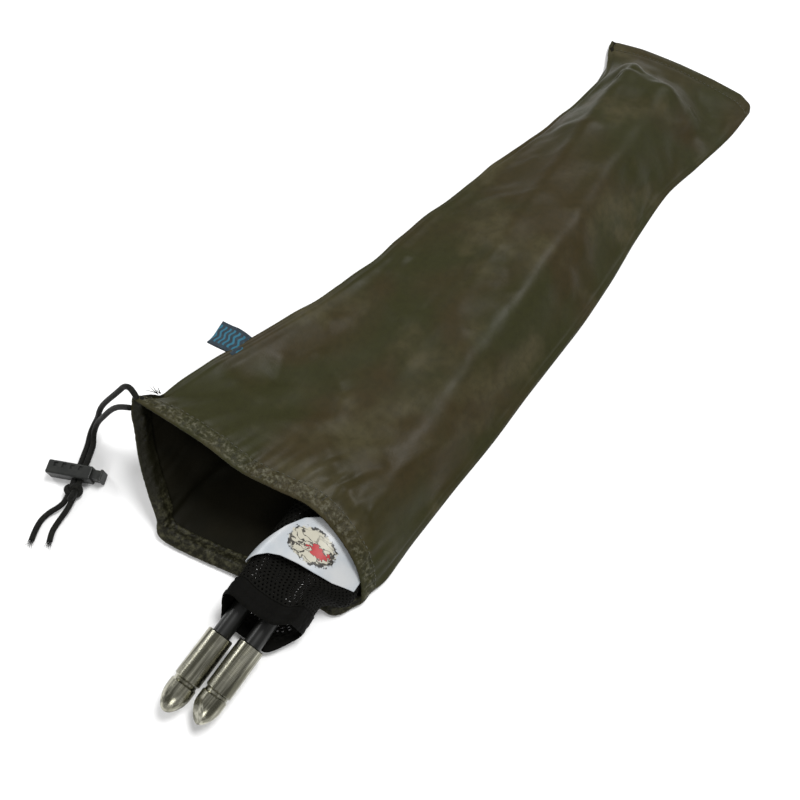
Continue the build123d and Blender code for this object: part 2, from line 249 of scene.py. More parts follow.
# ---- materials ------------------------------------------------------------------------
class Finish:
    """A Principled material built from nodes, in the object's coordinates (metres) or its cloth's uv."""

    def __init__(self, name, **shader):
        self.mat = bpy.data.materials.new(name)
        self.mat.use_nodes = True
        self.tree = self.mat.node_tree
        self.shader = self.tree.nodes["Principled BSDF"]
        for key, value in shader.items():
            self.shader.inputs[key.replace("_", " ")].default_value = value
        self.place = self.tree.nodes.new("ShaderNodeTexCoord").outputs["Object"]
        self.height = None

    def node(self, kind, settings=None, **inputs):
        made = self.tree.nodes.new("ShaderNode" + kind)
        for key, value in (settings or {}).items():
            setattr(made, key, value)
        for key, value in inputs.items():
            socket = made.inputs[int(key[1:])] if key[1:].isdigit() else made.inputs[key.replace("_", " ")]
            if isinstance(value, bpy.types.NodeSocket):
                self.tree.links.new(value, socket)
            else:
                socket.default_value = value
        return made

    def uv(self):
        return self.node("UVMap", {"uv_map": "cloth"}).outputs["UV"]

    def stretched(self, scale):
        return self.node("Mapping", Vector=self.place, Scale=scale).outputs["Vector"]

    def math(self, operation, a, b=0.0):
        return self.node("Math", {"operation": operation}, i0=a, i1=b).outputs[0]

    def noise(self, scale, detail=3.0, roughness=0.55, place=None, distortion=0.0):
        return self.node("TexNoise", Vector=place or self.place, Scale=scale, Detail=detail,
                         Roughness=roughness, Distortion=distortion).outputs["Fac"]

    def span(self, value, low, high, to_low=0.0, to_high=1.0):
        return self.node("MapRange", {"interpolation_type": "SMOOTHSTEP"}, i0=value, i1=low, i2=high,
                         i3=to_low, i4=to_high).outputs[0]

    def blend(self, share, a, b):
        made = self.node("Mix", {"data_type": "RGBA"}, i0=share)
        for spot, value in ((6, a), (7, b)):
            if isinstance(value, bpy.types.NodeSocket):
                self.tree.links.new(value, made.inputs[spot])
            else:
                made.inputs[spot].default_value = (*value, 1.0)
        return made.outputs[2]

    def mottle(self, field, low, high, first, second):
        """Colours the surface from first to second as the field goes from low to high."""
        self.colour(self.blend(self.span(field, low, high), first, second))

    def roughen(self, field, least, most):
        """Roughness from least to most over the middle of the field's range."""
        self.rough(self.span(field, 0.3, 0.7, least, most))

    def colour(self, value):
        self.tree.links.new(value, self.shader.inputs["Base Color"])

    def rough(self, value):
        self.tree.links.new(value, self.shader.inputs["Roughness"])

    def bump(self, height, distance, strength=1.0):
        """Adds a layer of relief, distance in millimetres."""
        made = self.node("Bump", Height=height, Distance=distance * MM, Strength=strength)
        if self.height is not None:
            self.tree.links.new(self.height, made.inputs["Normal"])
        self.height = made.outputs["Normal"]
        self.tree.links.new(self.height, self.shader.inputs["Normal"])


def weave(f, place, pitch):
    """Plain weave relief from two crossed waves, pitch in millimetres."""
    x, y = (f.node("SeparateXYZ", Vector=place).outputs[i] for i in range(2))
    wave = math.pi / (pitch * MM)
    sx = f.math("SINE", f.math("MULTIPLY", x, wave))
    sy = f.math("SINE", f.math("MULTIPLY", y, wave))
    checks = f.math("MULTIPLY", sx, sy)
    return f.math("ADD", f.math("MULTIPLY", checks, 0.5), 0.5)


def coated_nylon():
    f = Finish("coated_nylon", Specular_IOR_Level=0.13)
    along = f.node("SeparateXYZ", Vector=f.uv()).outputs[1]
    height = f.node("SeparateXYZ", Vector=f.place).outputs[2]
    blotch = f.noise(13.0, 2.5, 0.55, distortion=0.6)
    fine = f.noise(260.0, 3.0, 0.6)
    tone = f.blend(f.span(blotch, 0.38, 0.62), (0.0240, 0.0240, 0.0066), (0.0310, 0.0228, 0.0076))
    # Lighter noise patches: painted sheen highlights, standing in for the soft highlights on the cloth's
    # creases.
    light = f.blend(f.span(f.noise(27.0, 3.0, 0.6), 0.50, 0.74), tone, (0.048, 0.041, 0.018))
    plain = f.blend(f.span(fine, 0.35, 0.75, 0, 0.35), light, (0.016, 0.0145, 0.005))
    # Round the mouth channel, the same dots that raise the puckers also colour them: pale on their tops as
    # painted highlights, dark in their dips as painted shade.
    hem = f.math("MULTIPLY", f.span(along, 0.0055, 0.0105, 1.0, 0.0), f.span(along, -0.0005, 0.0015))
    dots = f.noise(470.0, 2.5, 0.62)
    pucker_highlight = f.blend(f.math("MULTIPLY", hem, f.span(dots, 0.46, 0.72)), plain, (0.090, 0.086, 0.056))
    wear_and_shade = f.blend(f.math("MULTIPLY", hem, f.span(dots, 0.34, 0.48, 0.6, 0.0)), pucker_highlight, (0.014, 0.014, 0.007))
    # Inner flap of the channel: near black as painted shade inside the mouth, with lighter mottles low down
    # as painted highlights on the wrinkles of the lower flap.
    flap = f.span(along, -0.0030, -0.0008, 1.0, 0.0)
    lower_flap_highlight = f.math("MULTIPLY", f.span(height, 0.010, 0.022, 1.0, 0.0),
                   f.span(f.noise(380.0, 3.5, 0.68), 0.40, 0.72))
    flap_shade_and_highlight = f.blend(lower_flap_highlight, (0.0075, 0.0070, 0.0030), (0.046, 0.044, 0.024))
    f.colour(f.blend(flap, wear_and_shade, flap_shade_and_highlight))
    f.roughen(f.noise(34.0, 4.0, 0.6), 0.42, 0.56)
    f.bump(weave(f, f.uv(), 0.45), 0.035, 0.6)
    f.bump(f.noise(420.0, 3.0, 0.6), 0.10, 0.5)
    f.bump(f.noise(90.0, 3.0, 0.55, distortion=0.4), 0.45, 0.5)
    f.bump(f.math("MULTIPLY", hem, dots), 0.9, 0.7)
    f.bump(f.math("MULTIPLY", flap, f.noise(300.0, 2.0, 0.6)), 1.3, 0.7)
    return f.mat


# Inner face of the sack: coloured several times darker than the outer nylon, as painted shade for the sack's
# dark inside.
def nylon_inside():
    f = Finish("coated_nylon_inside_painted_shade", Specular_IOR_Level=0.08)
    f.mottle(f.noise(40.0), 0.35, 0.65, (0.0048, 0.0044, 0.0018), (0.0072, 0.0062, 0.0028))
    f.roughen(f.noise(60.0), 0.60, 0.75)
    f.bump(weave(f, f.uv(), 0.45), 0.035, 0.6)
    f.bump(f.noise(90.0, 3.0, 0.55), 0.45, 0.5)
    return f.mat


def braided_cord():
    f = Finish("black_cord", Specular_IOR_Level=0.12, Sheen_Weight=0.05, Sheen_Roughness=0.45)
    strands = f.noise(900.0, 2.0, 0.5)
    f.mottle(strands, 0.35, 0.7, (0.0035, 0.0035, 0.0030), (0.0120, 0.0120, 0.0095))
    f.roughen(strands, 0.62, 0.82)
    f.bump(f.noise(2600.0, 2.0, 0.6), 0.06, 0.7)
    return f.mat


def black_net():
    f = Finish("black_mesh", Specular_IOR_Level=0.06)
    yarn = f.noise(1500.0, 2.0, 0.6)
    f.mottle(yarn, 0.3, 0.7, (0.0018, 0.0018, 0.0014), (0.0050, 0.0047, 0.0036))
    f.roughen(yarn, 0.55, 0.75)
    f.bump(yarn, 0.09, 0.8)
    return f.mat


def black_hem():
    f = Finish("black_hem", Specular_IOR_Level=0.06)
    ribs = f.noise(700.0, 3.0, 0.6)
    f.mottle(ribs, 0.3, 0.7, (0.0012, 0.0012, 0.0009), (0.0036, 0.0034, 0.0026))
    f.roughen(ribs, 0.6, 0.8)
    f.bump(weave(f, f.place, 0.9), 0.06, 0.6)
    f.bump(f.noise(160.0, 3.0, 0.6), 0.5, 0.5)
    return f.mat


def black_plastic():
    f = Finish("black_plastic", Specular_IOR_Level=0.28)
    grain = f.noise(1200.0, 2.0, 0.5)
    f.mottle(f.noise(160.0), 0.35, 0.7, (0.010, 0.011, 0.010), (0.020, 0.021, 0.018))
    f.roughen(grain, 0.34, 0.52)
    f.bump(grain, 0.03, 0.6)
    return f.mat


def satin_nickel():
    f = Finish("satin_nickel", Metallic=1.0)
    turned = f.noise(1.0, 2.0, 0.6, place=f.stretched((60.0, 5200.0, 60.0)))
    # The stretched noise below runs along the fittings. Its dark stripes in the colour are painted
    # reflections of dark surroundings. The mottled tone from the round noise is the metal's own wear.
    drawn = f.noise(1.0, 3.0, 0.6, place=f.stretched((420.0, 14.0, 420.0)))
    wear_and_shade = f.noise(190.0, 4.0, 0.65)
    metal = f.blend(f.span(wear_and_shade, 0.4, 0.75), (0.46, 0.45, 0.37), (0.30, 0.29, 0.225))
    f.colour(f.blend(f.span(drawn, 0.36, 0.62), (0.115, 0.112, 0.082), metal))
    f.rough(f.math("ADD", f.span(wear_and_shade, 0.3, 0.75, 0.16, 0.28), f.span(turned, 0.3, 0.7, 0.0, 0.07)))
    f.bump(turned, 0.012, 0.5)
    f.bump(f.noise(900.0, 2.0, 0.5), 0.01, 0.5)
    return f.mat


def anodised_black():
    f = Finish("black_anodised", Specular_IOR_Level=0.35, Coat_Weight=0.10, Coat_Roughness=0.25)
    along = f.stretched((900.0, 12.0, 900.0))
    drawn = f.noise(1.0, 2.0, 0.6, place=along)
    rubs = f.noise(120.0, 4.0, 0.65)
    f.mottle(rubs, 0.55, 0.8, (0.005, 0.0053, 0.0045), (0.015, 0.015, 0.0135))
    f.roughen(drawn, 0.30, 0.42)
    f.bump(drawn, 0.008, 0.5)
    return f.mat


def bare_aluminium():
    f = Finish("bare_aluminium", Metallic=1.0)
    rings = f.noise(1.0, 2.0, 0.6, place=f.stretched((60.0, 4200.0, 60.0)))
    f.mottle(f.noise(240.0), 0.35, 0.7, (0.60, 0.60, 0.59), (0.50, 0.50, 0.49))
    f.roughen(rings, 0.24, 0.38)
    f.bump(rings, 0.012, 0.5)
    return f.mat


def spring_steel():
    f = Finish("spring_steel", Metallic=1.0)
    f.mottle(f.noise(500.0), 0.35, 0.7, (0.42, 0.42, 0.41), (0.30, 0.30, 0.29))
    f.roughen(f.noise(900.0), 0.22, 0.36)
    f.bump(f.noise(2500.0), 0.01, 0.5)
    return f.mat


def elastic_cord():
    f = Finish("elastic_cord", Specular_IOR_Level=0.3)
    fine = f.noise(1400.0, 2.0, 0.6)
    f.mottle(fine, 0.3, 0.7, (0.012, 0.012, 0.012), (0.05, 0.05, 0.045))
    f.roughen(fine, 0.6, 0.8)
    f.bump(fine, 0.08, 0.6)
    return f.mat


def put(material, *nodes):
    for name in nodes:
        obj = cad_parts[name]
        if not obj.material_slots:
            obj.data.materials.append(None)
        for spot in obj.material_slots:
            spot.material = material


def dress_cad(materials):
    put(materials["cord"], "drawcord_in_casing")
    put(materials["plastic"], "cord_lock_body", "cord_lock_plunger")
    put(materials["tube"], *(f"probe_section_{i}" for i in range(1, 7)))
    put(materials["ferrule"], *(f"insert_ferrule_{i}" for i in range(1, 6)))
    put(materials["nickel"], "tip_end_fitting", "head_end_fitting", "tip_cord_washer", "head_cord_washer")
    put(materials["elastic"], "tension_cord", "tip_cord_knot", "head_cord_knot")


# ---- drawcord ends ----------------------------------------------------------------------
LOCK_PLACE = Matrix.Translation((-95.7, -204.4, 4.6)) @ Matrix.Rotation(math.radians(27.0), 4, "Z")
CROSSING = 4.6              # the cords cross the lock this far right of its centre
CORD_R = 1.5
CASING_CORD_R = 1.35        # thinner where it is hidden, to fit its channel


def beside_lock(across, along):
    return tuple(LOCK_PLACE @ Vector((CROSSING + across, along, 0)))


UPPER_STRAND = [
    (-69.0, -160.2, 57.5), (-72.0, -158.8, 61.6), (-77.4, -159.2, 59.6), (-81.8, -162.2, 52.6),
    (-86.4, -164.8, 45.6), (-91.6, -167.8, 37.8), (-96.2, -170.4, 30.0), (-98.2, -173.0, 24.6),
    (-101.6, -174.6, 15.8), (-104.0, -178.2, 9.4), (-104.0, -182.9, 5.6),
    beside_lock(-1.6, 17.0), beside_lock(-1.6, 11.0), beside_lock(-1.6, -15.5),
    (-87.0, -222.0, 3.0), (-90.0, -228.2, 1.6), (-89.8, -235.8, 1.6), (-85.6, -243.3, 1.6)]
LOWER_STRAND = [
    (-70.2, -165.4, 53.6), (-74.6, -166.6, 51.0), (-81.0, -168.4, 45.0), (-86.6, -170.8, 37.4),
    (-91.6, -173.4, 29.0), (-95.6, -174.8, 22.6), (-99.2, -176.8, 16.2), (-101.2, -179.2, 10.8),
    (-101.0, -182.8, 6.6), beside_lock(1.6, 17.0), beside_lock(1.6, 11.8), beside_lock(1.6, -15.5),
    (-82.0, -223.0, 3.2), (-81.8, -229.2, 1.6), (-80.6, -234.0, 1.6), (-77.6, -238.0, 1.6)]


STRAND_STEP = 0.35          # between the rings of a strand's mesh
SPRING_SEAT, STEM_END = -9.0, -3.0      # along the lock, from its centre


def lock_spring():
    """Coil spring between its seat in the lock and the plunger's stem."""
    wire, coil, turns = 0.25, 2.1, 4
    share = np.linspace(0, 1, 40 * turns + 1)
    angle = 2 * math.pi * turns * share
    along = SPRING_SEAT + wire + (STEM_END - SPRING_SEAT - 2 * wire) * share
    local = np.stack([along, coil * np.cos(angle), coil * np.sin(angle)], axis=1)
    line = np.array([tuple(LOCK_PLACE @ Vector(point)) for point in local])
    return tube_mesh("lock_spring", line, lambda s, a: wire, sides=8)


def spline_line(name, points):
    """Points along the NURBS spline through the route's control points, in millimetres."""
    data = bpy.data.curves.new(name, "CURVE")
    data.dimensions = "3D"
    data.resolution_u = 24
    line = data.splines.new("NURBS")
    line.points.add(len(points) - 1)
    for spot, point in zip(line.points, points):
        spot.co = (*(c * MM for c in point), 1.0)
    line.order_u = 3
    line.use_endpoint_u = True
    obj = add_object(name, data)
    mesh = bpy.data.meshes.new_from_object(obj)
    bpy.data.objects.remove(obj)
    return np.array([v.co for v in mesh.vertices]) / MM


def braid(length, angle):
    """Diamond relief of a braid, with four yarns each way round."""
    wave = 2 * math.pi / 4.4
    left = np.abs(np.cos(2 * angle + wave * length))
    right = np.abs(np.cos(2 * angle - wave * length))
    return CORD_R * (0.935 + 0.065 * np.maximum(left, right) ** 0.7)


def strand(name, points):
    line = spline_line(name + "_line", points)
    length = np.linalg.norm(np.diff(line, axis=0), axis=1).sum()
    path = resample(line, int(length / STRAND_STEP))
    return tube_mesh(name, path, braid, sides=24), path, length


BUNDLE = Matrix.Translation((28.6, -217.8, 11.2)) @ Matrix.Rotation(math.radians(3.5), 4, "Z")
SNUG = [(-5.0, -5.1), (3, -5.5), (14, -5.5), (26, -5.5), (30.6, -3.4), (31.0, 2.4), (26.4, 11.6),
        (21.0, 14.6),
        (12.5, 13.2), (4, 13.4), (-2.8, 14.9), (-6.8, 12.6), (-7.4, 8.0), (-6.0, 0.6)]
WIDE = [(-5.2, -5.1), (6, -5.5), (20, -5.5), (34, -5.5), (39.8, -4.2), (38.4, 2.0), (28.2, 12.0),
        (21.4, 14.8),
        (12.5, 13.5), (4, 13.7), (-2.8, 15.0), (-6.9, 12.8), (-7.6, 8.0), (-6.4, 0.6)]
HEM_FRONT, HEM_BACK, SLEEVE_END = 8.0, 18.0, 436.0


def sleeve_outline(y):
    """Outer outline of the mesh sleeve at a distance along the bundle: snug at its hem, wider behind."""
    share = float(smooth_step((y - 25.0) / 14.0))
    ring = (1 - share) * np.array(SNUG) + share * np.array(WIDE)
    ring[4:6, 0] += 2.4 * math.exp(-((y - 48.0) / 11.0) ** 2)
    return ring


def outward(ring):
    """Unit normals of a closed outline in its own plane, facing outwards."""
    t = np.roll(ring, -1, axis=0) - np.roll(ring, 1, axis=0)
    return unit(np.stack([t[:, 1], -t[:, 0]], axis=1))


def sleeve_point_table(angles=240, step=4.0):
    """Sleeve surface in the bundle's frame: (angles, stations, 3), with soft folds between the tubes."""
    ys = np.concatenate([np.arange(HEM_FRONT, 430.0, step), [430, 431.5, 433, 434.4, 435.4, SLEEVE_END]])
    table = np.zeros((angles, len(ys), 3))
    for k, y in enumerate(ys):
        ring = resample(spline(sleeve_outline(y), closed=True), angles + 1)[:-1]
        out = outward(ring)
        sway = np.array([noise.noise(Vector((x / 9.0, y / 26.0, z / 9.0))) for x, z in ring])
        fine = np.array([noise.noise(Vector((x / 4.5, y / 9.0, z / 4.5 + 7))) for x, z in ring])
        loose = 0.35 + 0.65 * smooth_step((y - 20) / 16.0)
        ring = ring + out * (0.3 + loose * (0.7 * sway + 0.4 * fine))[:, None]
        shut = smooth_step((y - 430.5) / 5.5)
        ring = ring * (1 - 0.5 * shut) + np.array([8.0, 4.5]) * 0.5 * shut
        lean = 2.8 + 6.0 * (ring[:, 1] - 4.5) / 11.0 + 18.0 * smooth_step((ring[:, 0] - 20.0) / 16.0)
        lean = np.minimum(lean, 14.0) * (1 - smooth_step((y - 18.0) / 38.0))
        table[:, k] = np.stack([ring[:, 0], y + lean, np.maximum(ring[:, 1], -6.2)], axis=1)
    return table, ys


def to_row(points):
    return placed_by(BUNDLE, points)


def sample_table(table, ys, around, y):
    """Sleeve surface at a share round it and a distance along it."""
    count = table.shape[0]
    a = (np.asarray(around) % 1.0) * count
    i = np.floor(a).astype(int) % count
    s = (a - np.floor(a))[:, None]
    k = np.clip(np.searchsorted(ys, y) - 1, 0, len(ys) - 2)
    t = np.clip((y - ys[k]) / (ys[k + 1] - ys[k]), 0, 1)[:, None]
    j = (i + 1) % count
    return ((1 - s) * (1 - t) * table[i, k] + s * (1 - t) * table[j, k]
            + (1 - s) * t * table[i, k + 1] + s * t * table[j, k + 1])


def net_mesh(table, ys):
    """Knitted net: hexagonal holes 2.1 mm apart along it and 2.3 to 2.7 mm round it."""
    around, pitch = 46, 2.08
    rows = int((SLEEVE_END - HEM_BACK + 2.5) / pitch)
    points, faces = [], []
    share = 1.0 / around
    for row in range(rows):
        y0 = HEM_BACK - 2.5 + pitch * row
        for col in range(around):
            a0 = (col + 0.5 * (row % 2)) * share
            for scale in (1.0, 0.38):
                for corner in range(6):
                    angle = math.pi / 3 * corner + math.pi / 6
                    points.append((a0 + scale * math.cos(angle) * share / math.sqrt(3),
                                   y0 + scale * math.sin(angle) * pitch / 1.5, 0))
            base = 12 * (row * around + col)
            faces += [(base + c, base + (c + 1) % 6, base + 6 + (c + 1) % 6,
                       base + 6 + c) for c in range(6)]
    flat = np.array(points)
    placed = sample_table(table, ys, flat[:, 0], flat[:, 1])
    mesh = bpy.data.meshes.new("mesh_net")
    mesh.from_pydata((to_row(placed) * MM).tolist(), [], faces)
    bm = bmesh.new()
    bm.from_mesh(mesh)
    bmesh.ops.remove_doubles(bm, verts=bm.verts, dist=0.00012)
    bmesh.ops.recalc_face_normals(bm, faces=bm.faces)
    bm.to_mesh(mesh)
    bm.free()
    mesh.shade_smooth()
    return solidify(add_object("mesh_net", mesh), CLOTH, 0.0)


def end_cap(table):
    """Sewn patch that closes the sleeve's far end."""
    ring = to_row(table[:, -1])
    centre = ring.mean(axis=0)
    rows = [centre + (ring - centre) * r for r in (1.02, 0.8, 0.5, 0.2, 0.02)]
    rows = [row + np.array([0, 0.9 * (1 - r), 0]) for row, r in zip(rows, (1, 0.8, 0.5, 0.2, 0))]
    return solidify(grid_mesh("sleeve_cap", np.stack(rows, axis=1), around=True), 0.6, 0.0)


def hem_band(table, ys):
    """Folded hem at the sleeve's opening, with two stitched ribs."""
    profile = [(0.0, 0.55), (0.6, 0.95), (2.2, 1.05), (3.2, 0.75), (5.0, 1.0), (7.0, 0.95), (8.6, 0.7),
               (9.8, 0.9), (10.4, 0.45), (9.8, -0.1), (6.5, -0.12), (3.0, -0.1), (0.8, 0.0), (0.0, 0.55)]
    count = table.shape[0]
    share = np.arange(count) / count
    rows = []
    for along, lift in profile:
        y = HEM_FRONT + along
        base = sample_table(table, ys, share, np.full(count, y))
        out = outward(base[:, [0, 2]])
        wave = np.array([0.22 * noise.noise(Vector((10 * math.cos(turn), 10 * math.sin(turn), along / 2.5)))
                         for turn in 2 * math.pi * share])
        base[:, [0, 2]] += out * (lift + wave)[:, None]
        rows.append(base)
    return grid_mesh("mesh_hem", to_row(np.stack(rows, axis=1)), around=True)


def card():
    """White printed card bent over the sleeve, its left side cut to a point."""
    across, deep = 97, 40
    arch = resample(spline([(-9.0, 9.6), (-8.6, 13.4), (-5.6, 17.0), (0.5, 18.5), (9, 18.3), (17.5, 17.8),
                            (24.4, 16.0), (31, 11.8), (37.2, 6.6), (41.4, 1.6)]), across)
    near = np.interp(arch[:, 0], [-9, -8.0, -5.5, -1, 5, 14, 23, 32, 41.5],
                     [33.5, 35.0, 38.2, 42.0, 44.6, 46.1, 47, 48.6, 52.5])
    far = np.interp(arch[:, 0], [-9, -7.6, -5, -2, 3.5, 9, 18, 30, 41.5],
                    [39.0, 44.0, 51.0, 58.0, 66.5, 70.8, 73.4, 75.6, 78.5])
    length = run_length(arch)
    points = np.zeros((across, deep, 3))
    uv = np.zeros((across, deep, 2))
    for k, t in enumerate(np.linspace(0, 1, deep)):
        y = near + (far - near) * t
        bow = 0.5 * math.sin(math.pi * t) - 0.3 + 0.6 * (1 - t) ** 3
        points[:, k] = np.stack([arch[:, 0], y, arch[:, 1] + bow], axis=1)
        uv[:, k] = np.stack([length, y], axis=1) * MM
    obj = grid_mesh("card_wrap", to_row(points), uv=uv)
    return solidify(obj, 0.4, 1.0), arch, length


def printed_card(arch, length):
    """White card with a plain sketched oval: broken ink strokes, cream ground and one red patch."""
    f = Finish("printed_card", Specular_IOR_Level=0.4, Coat_Weight=0.15, Coat_Roughness=0.3)
    x, y = (f.node("SeparateXYZ", Vector=f.uv()).outputs[i] for i in range(2))
    middle = float(np.interp(14.8, arch[10:, 0], length[10:])) * MM

    def oval(left, near, half_width, half_depth):
        across = f.math("DIVIDE", f.math("SUBTRACT", x, middle + left * MM), half_width * MM)
        along = f.math("DIVIDE", f.math("SUBTRACT", y, near * MM), half_depth * MM)
        squares = f.math("ADD", f.math("MULTIPLY", across, across), f.math("MULTIPLY", along, along))
        return f.math("SQRT", squares)

    whole = oval(0.0, 57.0, 14.4, 8.8)
    ragged = f.math("ADD", whole, f.span(f.noise(420.0, 3.0, 0.65), 0.3, 0.7, -0.08, 0.08))
    paper = f.blend(f.span(f.noise(60.0, 3.0), 0.35, 0.65), (0.40, 0.43, 0.455), (0.47, 0.48, 0.485))
    disc = f.blend(f.span(ragged, 0.86, 0.92), (0.43, 0.41, 0.33), paper)
    ring = f.math("MULTIPLY", f.span(ragged, 0.78, 0.83), f.span(ragged, 0.92, 0.97, 1.0, 0.0))
    broken = f.span(f.noise(260.0, 2.0, 0.6), 0.42, 0.54)
    inked = f.blend(f.math("MULTIPLY", ring, broken), disc, (0.015, 0.014, 0.012))
    lines = f.noise(230.0, 2.0, 0.55, place=f.stretched((0.6, 1.3, 1.0)), distortion=0.8)
    scribble = f.math("ABSOLUTE", f.math("SUBTRACT", lines, 0.5))
    strokes = f.math("MULTIPLY", f.span(scribble, 0.022, 0.046, 1.0, 0.0),
                     f.span(whole, 0.84, 0.90, 1.0, 0.0))
    strokes = f.math("MULTIPLY", strokes, f.span(f.noise(110.0, 2.0, 0.5), 0.36, 0.48))
    drawn = f.blend(strokes, inked, (0.030, 0.026, 0.020))
    patch = f.math("ADD", oval(4.2, 56.0, 5.6, 2.4), f.span(f.noise(560.0, 2.5, 0.65),
                                                            0.3, 0.7, -0.45, 0.45))
    edge = f.blend(f.span(patch, 1.06, 1.16, 1.0, 0.0), drawn, (0.035, 0.020, 0.018))
    f.colour(f.blend(f.span(patch, 0.90, 1.0, 1.0, 0.0), edge, (0.36, 0.014, 0.018)))
    f.roughen(f.noise(300.0), 0.32, 0.45)
    f.bump(f.noise(60.0, 2.0), 0.15, 0.3)
    f.bump(f.noise(2200.0, 2.0), 0.006, 0.5)
    return f.mat


def label_loop():
    """Folded woven label sewn into the ridge seam."""
    across, deep, half = 61, 41, 7.5
    turned = Matrix.Rotation(math.radians(-12), 4, "Y") @ Matrix.Rotation(math.radians(8), 4, "Z")
    place = Matrix.Translation((-70.2, -102.0, 36.2)) @ turned
    profile = resample(spline([(12.5, -5.6), (9, -2.6), (5.5, -0.9), (3, -0.5), (-3, -0.2),
                               (-5.9, -0.12), (-6.45, 0.35),
                               (-5.9, 0.85), (-3, 0.8), (3, 0.9), (5.5, 0.6), (9, -1.2),
                               (12.5, -4.4)]), across)
    length = run_length(profile)
    to_fold = np.clip(-profile[:, 0] / 6.4, 0, 1)
    points = np.zeros((across, deep, 3))
    uv = np.zeros((across, deep, 2))
    for k, y in enumerate(np.linspace(-half, half, deep)):
        curl = 0.9 * (y / half) ** 2 * to_fold + 0.35 * np.sin(y / 2.6) * to_fold
        points[:, k] = np.stack([profile[:, 0], np.full(across, y), profile[:, 1] + curl], axis=1)
        uv[:, k] = np.stack([length, np.full(across, y)], axis=1) * MM
    return solidify(grid_mesh("label_loop", placed_by(place, points), uv=uv), 0.3, 0.0)


def woven_label():
    f = Finish("woven_label", Specular_IOR_Level=0.3, Sheen_Weight=0.15)
    x, y = (f.node("SeparateXYZ", Vector=f.uv()).outputs[i] for i in range(2))
    edge = f.math("ABSOLUTE", y)
    inside = f.span(edge, 5.2 * MM, 5.6 * MM, 1.0, 0.0)
    run = f.math("MULTIPLY", x, 2 * math.pi / (3.0 * MM))
    sway = f.math("SINE", f.math("MULTIPLY", y, 2 * math.pi / (6.0 * MM)))
    stripes = f.math("SINE", f.math("ADD", run, f.math("MULTIPLY", sway, 1.3)))
    motif = f.math("MULTIPLY", f.span(stripes, 0.05, 0.45), inside)
    navy = f.blend(f.span(f.noise(300.0), 0.35, 0.65), (0.006, 0.016, 0.026), (0.010, 0.026, 0.038))
    f.colour(f.blend(motif, navy, (0.010, 0.105, 0.165)))
    f.roughen(f.noise(700.0), 0.55, 0.75)
    f.bump(weave(f, f.uv(), 0.30), 0.05, 0.8)
    return f.mat


# ---- sack -------------------------------------------------------------------------------
# Outlines across the sack at stations along Y, as (x, z): over the top from the ridge seam
# to the right seam, and underneath from the ridge seam to the right seam.
TOP = [
    (-172, [(-69, 58), (-32, 51), (-8, 45.5), (10, 41.5), (28, 37.5), (45, 34), (59, 27), (67, 14),
            (71.6, 2.0)]),
    (-148, [(-67.3, 44.5), (-33, 45), (-8, 41), (10, 38.6), (28, 36), (45, 33.5), (59, 26), (68, 13),
            (74, 1.8)]),
    (-120, [(-64.2, 40), (-33, 38.5), (-8, 36), (10, 35), (28, 33.8), (46, 32), (59, 25), (68, 12),
            (73.4, 1.6)]),
    (-92, [(-58.5, 34.5), (-34, 33.5), (-8, 33), (10, 33), (28, 32.5), (44, 31), (57, 23.5), (67, 11),
           (73.4, 1.5)]),
    (-50, [(-49, 29), (-33, 30.5), (-8, 31.8), (10, 32), (26, 31.8), (41, 30.6), (53, 24.5), (65, 12),
           (74.2, 1.5)]),
    (-10, [(-43.2, 24.5), (-29, 28), (-7, 31.4), (9, 32), (25, 31.6), (39, 30), (50, 24), (63, 11),
           (73.4, 1.5)]),
    (35, [(-41, 19.5), (-26, 25), (-6, 30.5), (8, 31.6), (23, 31), (36, 30), (47, 24), (61, 10.5),
          (73.4, 1.5)]),
    (78, [(-35.3, 15.5), (-21, 23), (-4, 30), (8, 31.4), (21, 31), (34, 29.5), (45, 23), (59, 9.5),
          (71.2, 1.5)]),
    (100, [(-33.6, 14.5), (-18, 22.5), (-4, 29.8), (8, 31), (20, 30.8), (32, 29.5), (44, 22), (58, 9),
           (70.2, 1.5)]),
    (120, [(-30.3, 13), (-15, 22), (-3, 29.5), (8, 30.8), (19, 30.6), (31, 29.4), (42, 22.5), (55, 9),
           (66.8, 1.5)]),
    (145, [(-25.6, 11), (-14, 21.5), (-4, 29), (8, 30.6), (19, 30.3), (30, 29), (41, 22), (53, 9),
           (63.6, 1.5)]),
    (160, [(-24, 10), (-13, 21), (-4, 28.8), (8, 30.4), (18, 30.2), (29, 28.8), (40, 21.5), (54, 8.5),
           (64.6, 1.5)]),
    (195, [(-21.2, 8), (-12, 20), (-5, 28.5), (6, 30), (16, 29.8), (26, 28.6), (38, 21), (55, 8),
           (69.2, 1.5)]),
    (219, [(-20.4, 6.5), (-12, 17), (-5, 26.5), (6, 28), (16, 27.8), (26, 26.5), (40, 17), (58, 6.5),
           (72.4, 1.6)]),
    (240, [(-28.2, 3.8), (-15, 9), (-5, 14), (8, 15), (20, 14.5), (29, 13), (42, 9), (58, 5.2),
           (74.2, 1.8)]),
    (252, [(-34.4, 2.6), (-18, 4.4), (-5, 6.2), (8, 6.8), (20, 6.5), (29, 5.8), (42, 4.6), (58, 3.2),
           (74.4, 1.8)]),
    (268, [(-38, 1.9), (-20, 2.1), (-5, 2.2), (8, 2.3), (20, 2.3), (29, 2.3), (42, 2.2), (58, 2.1),
           (74, 1.6)]),
]
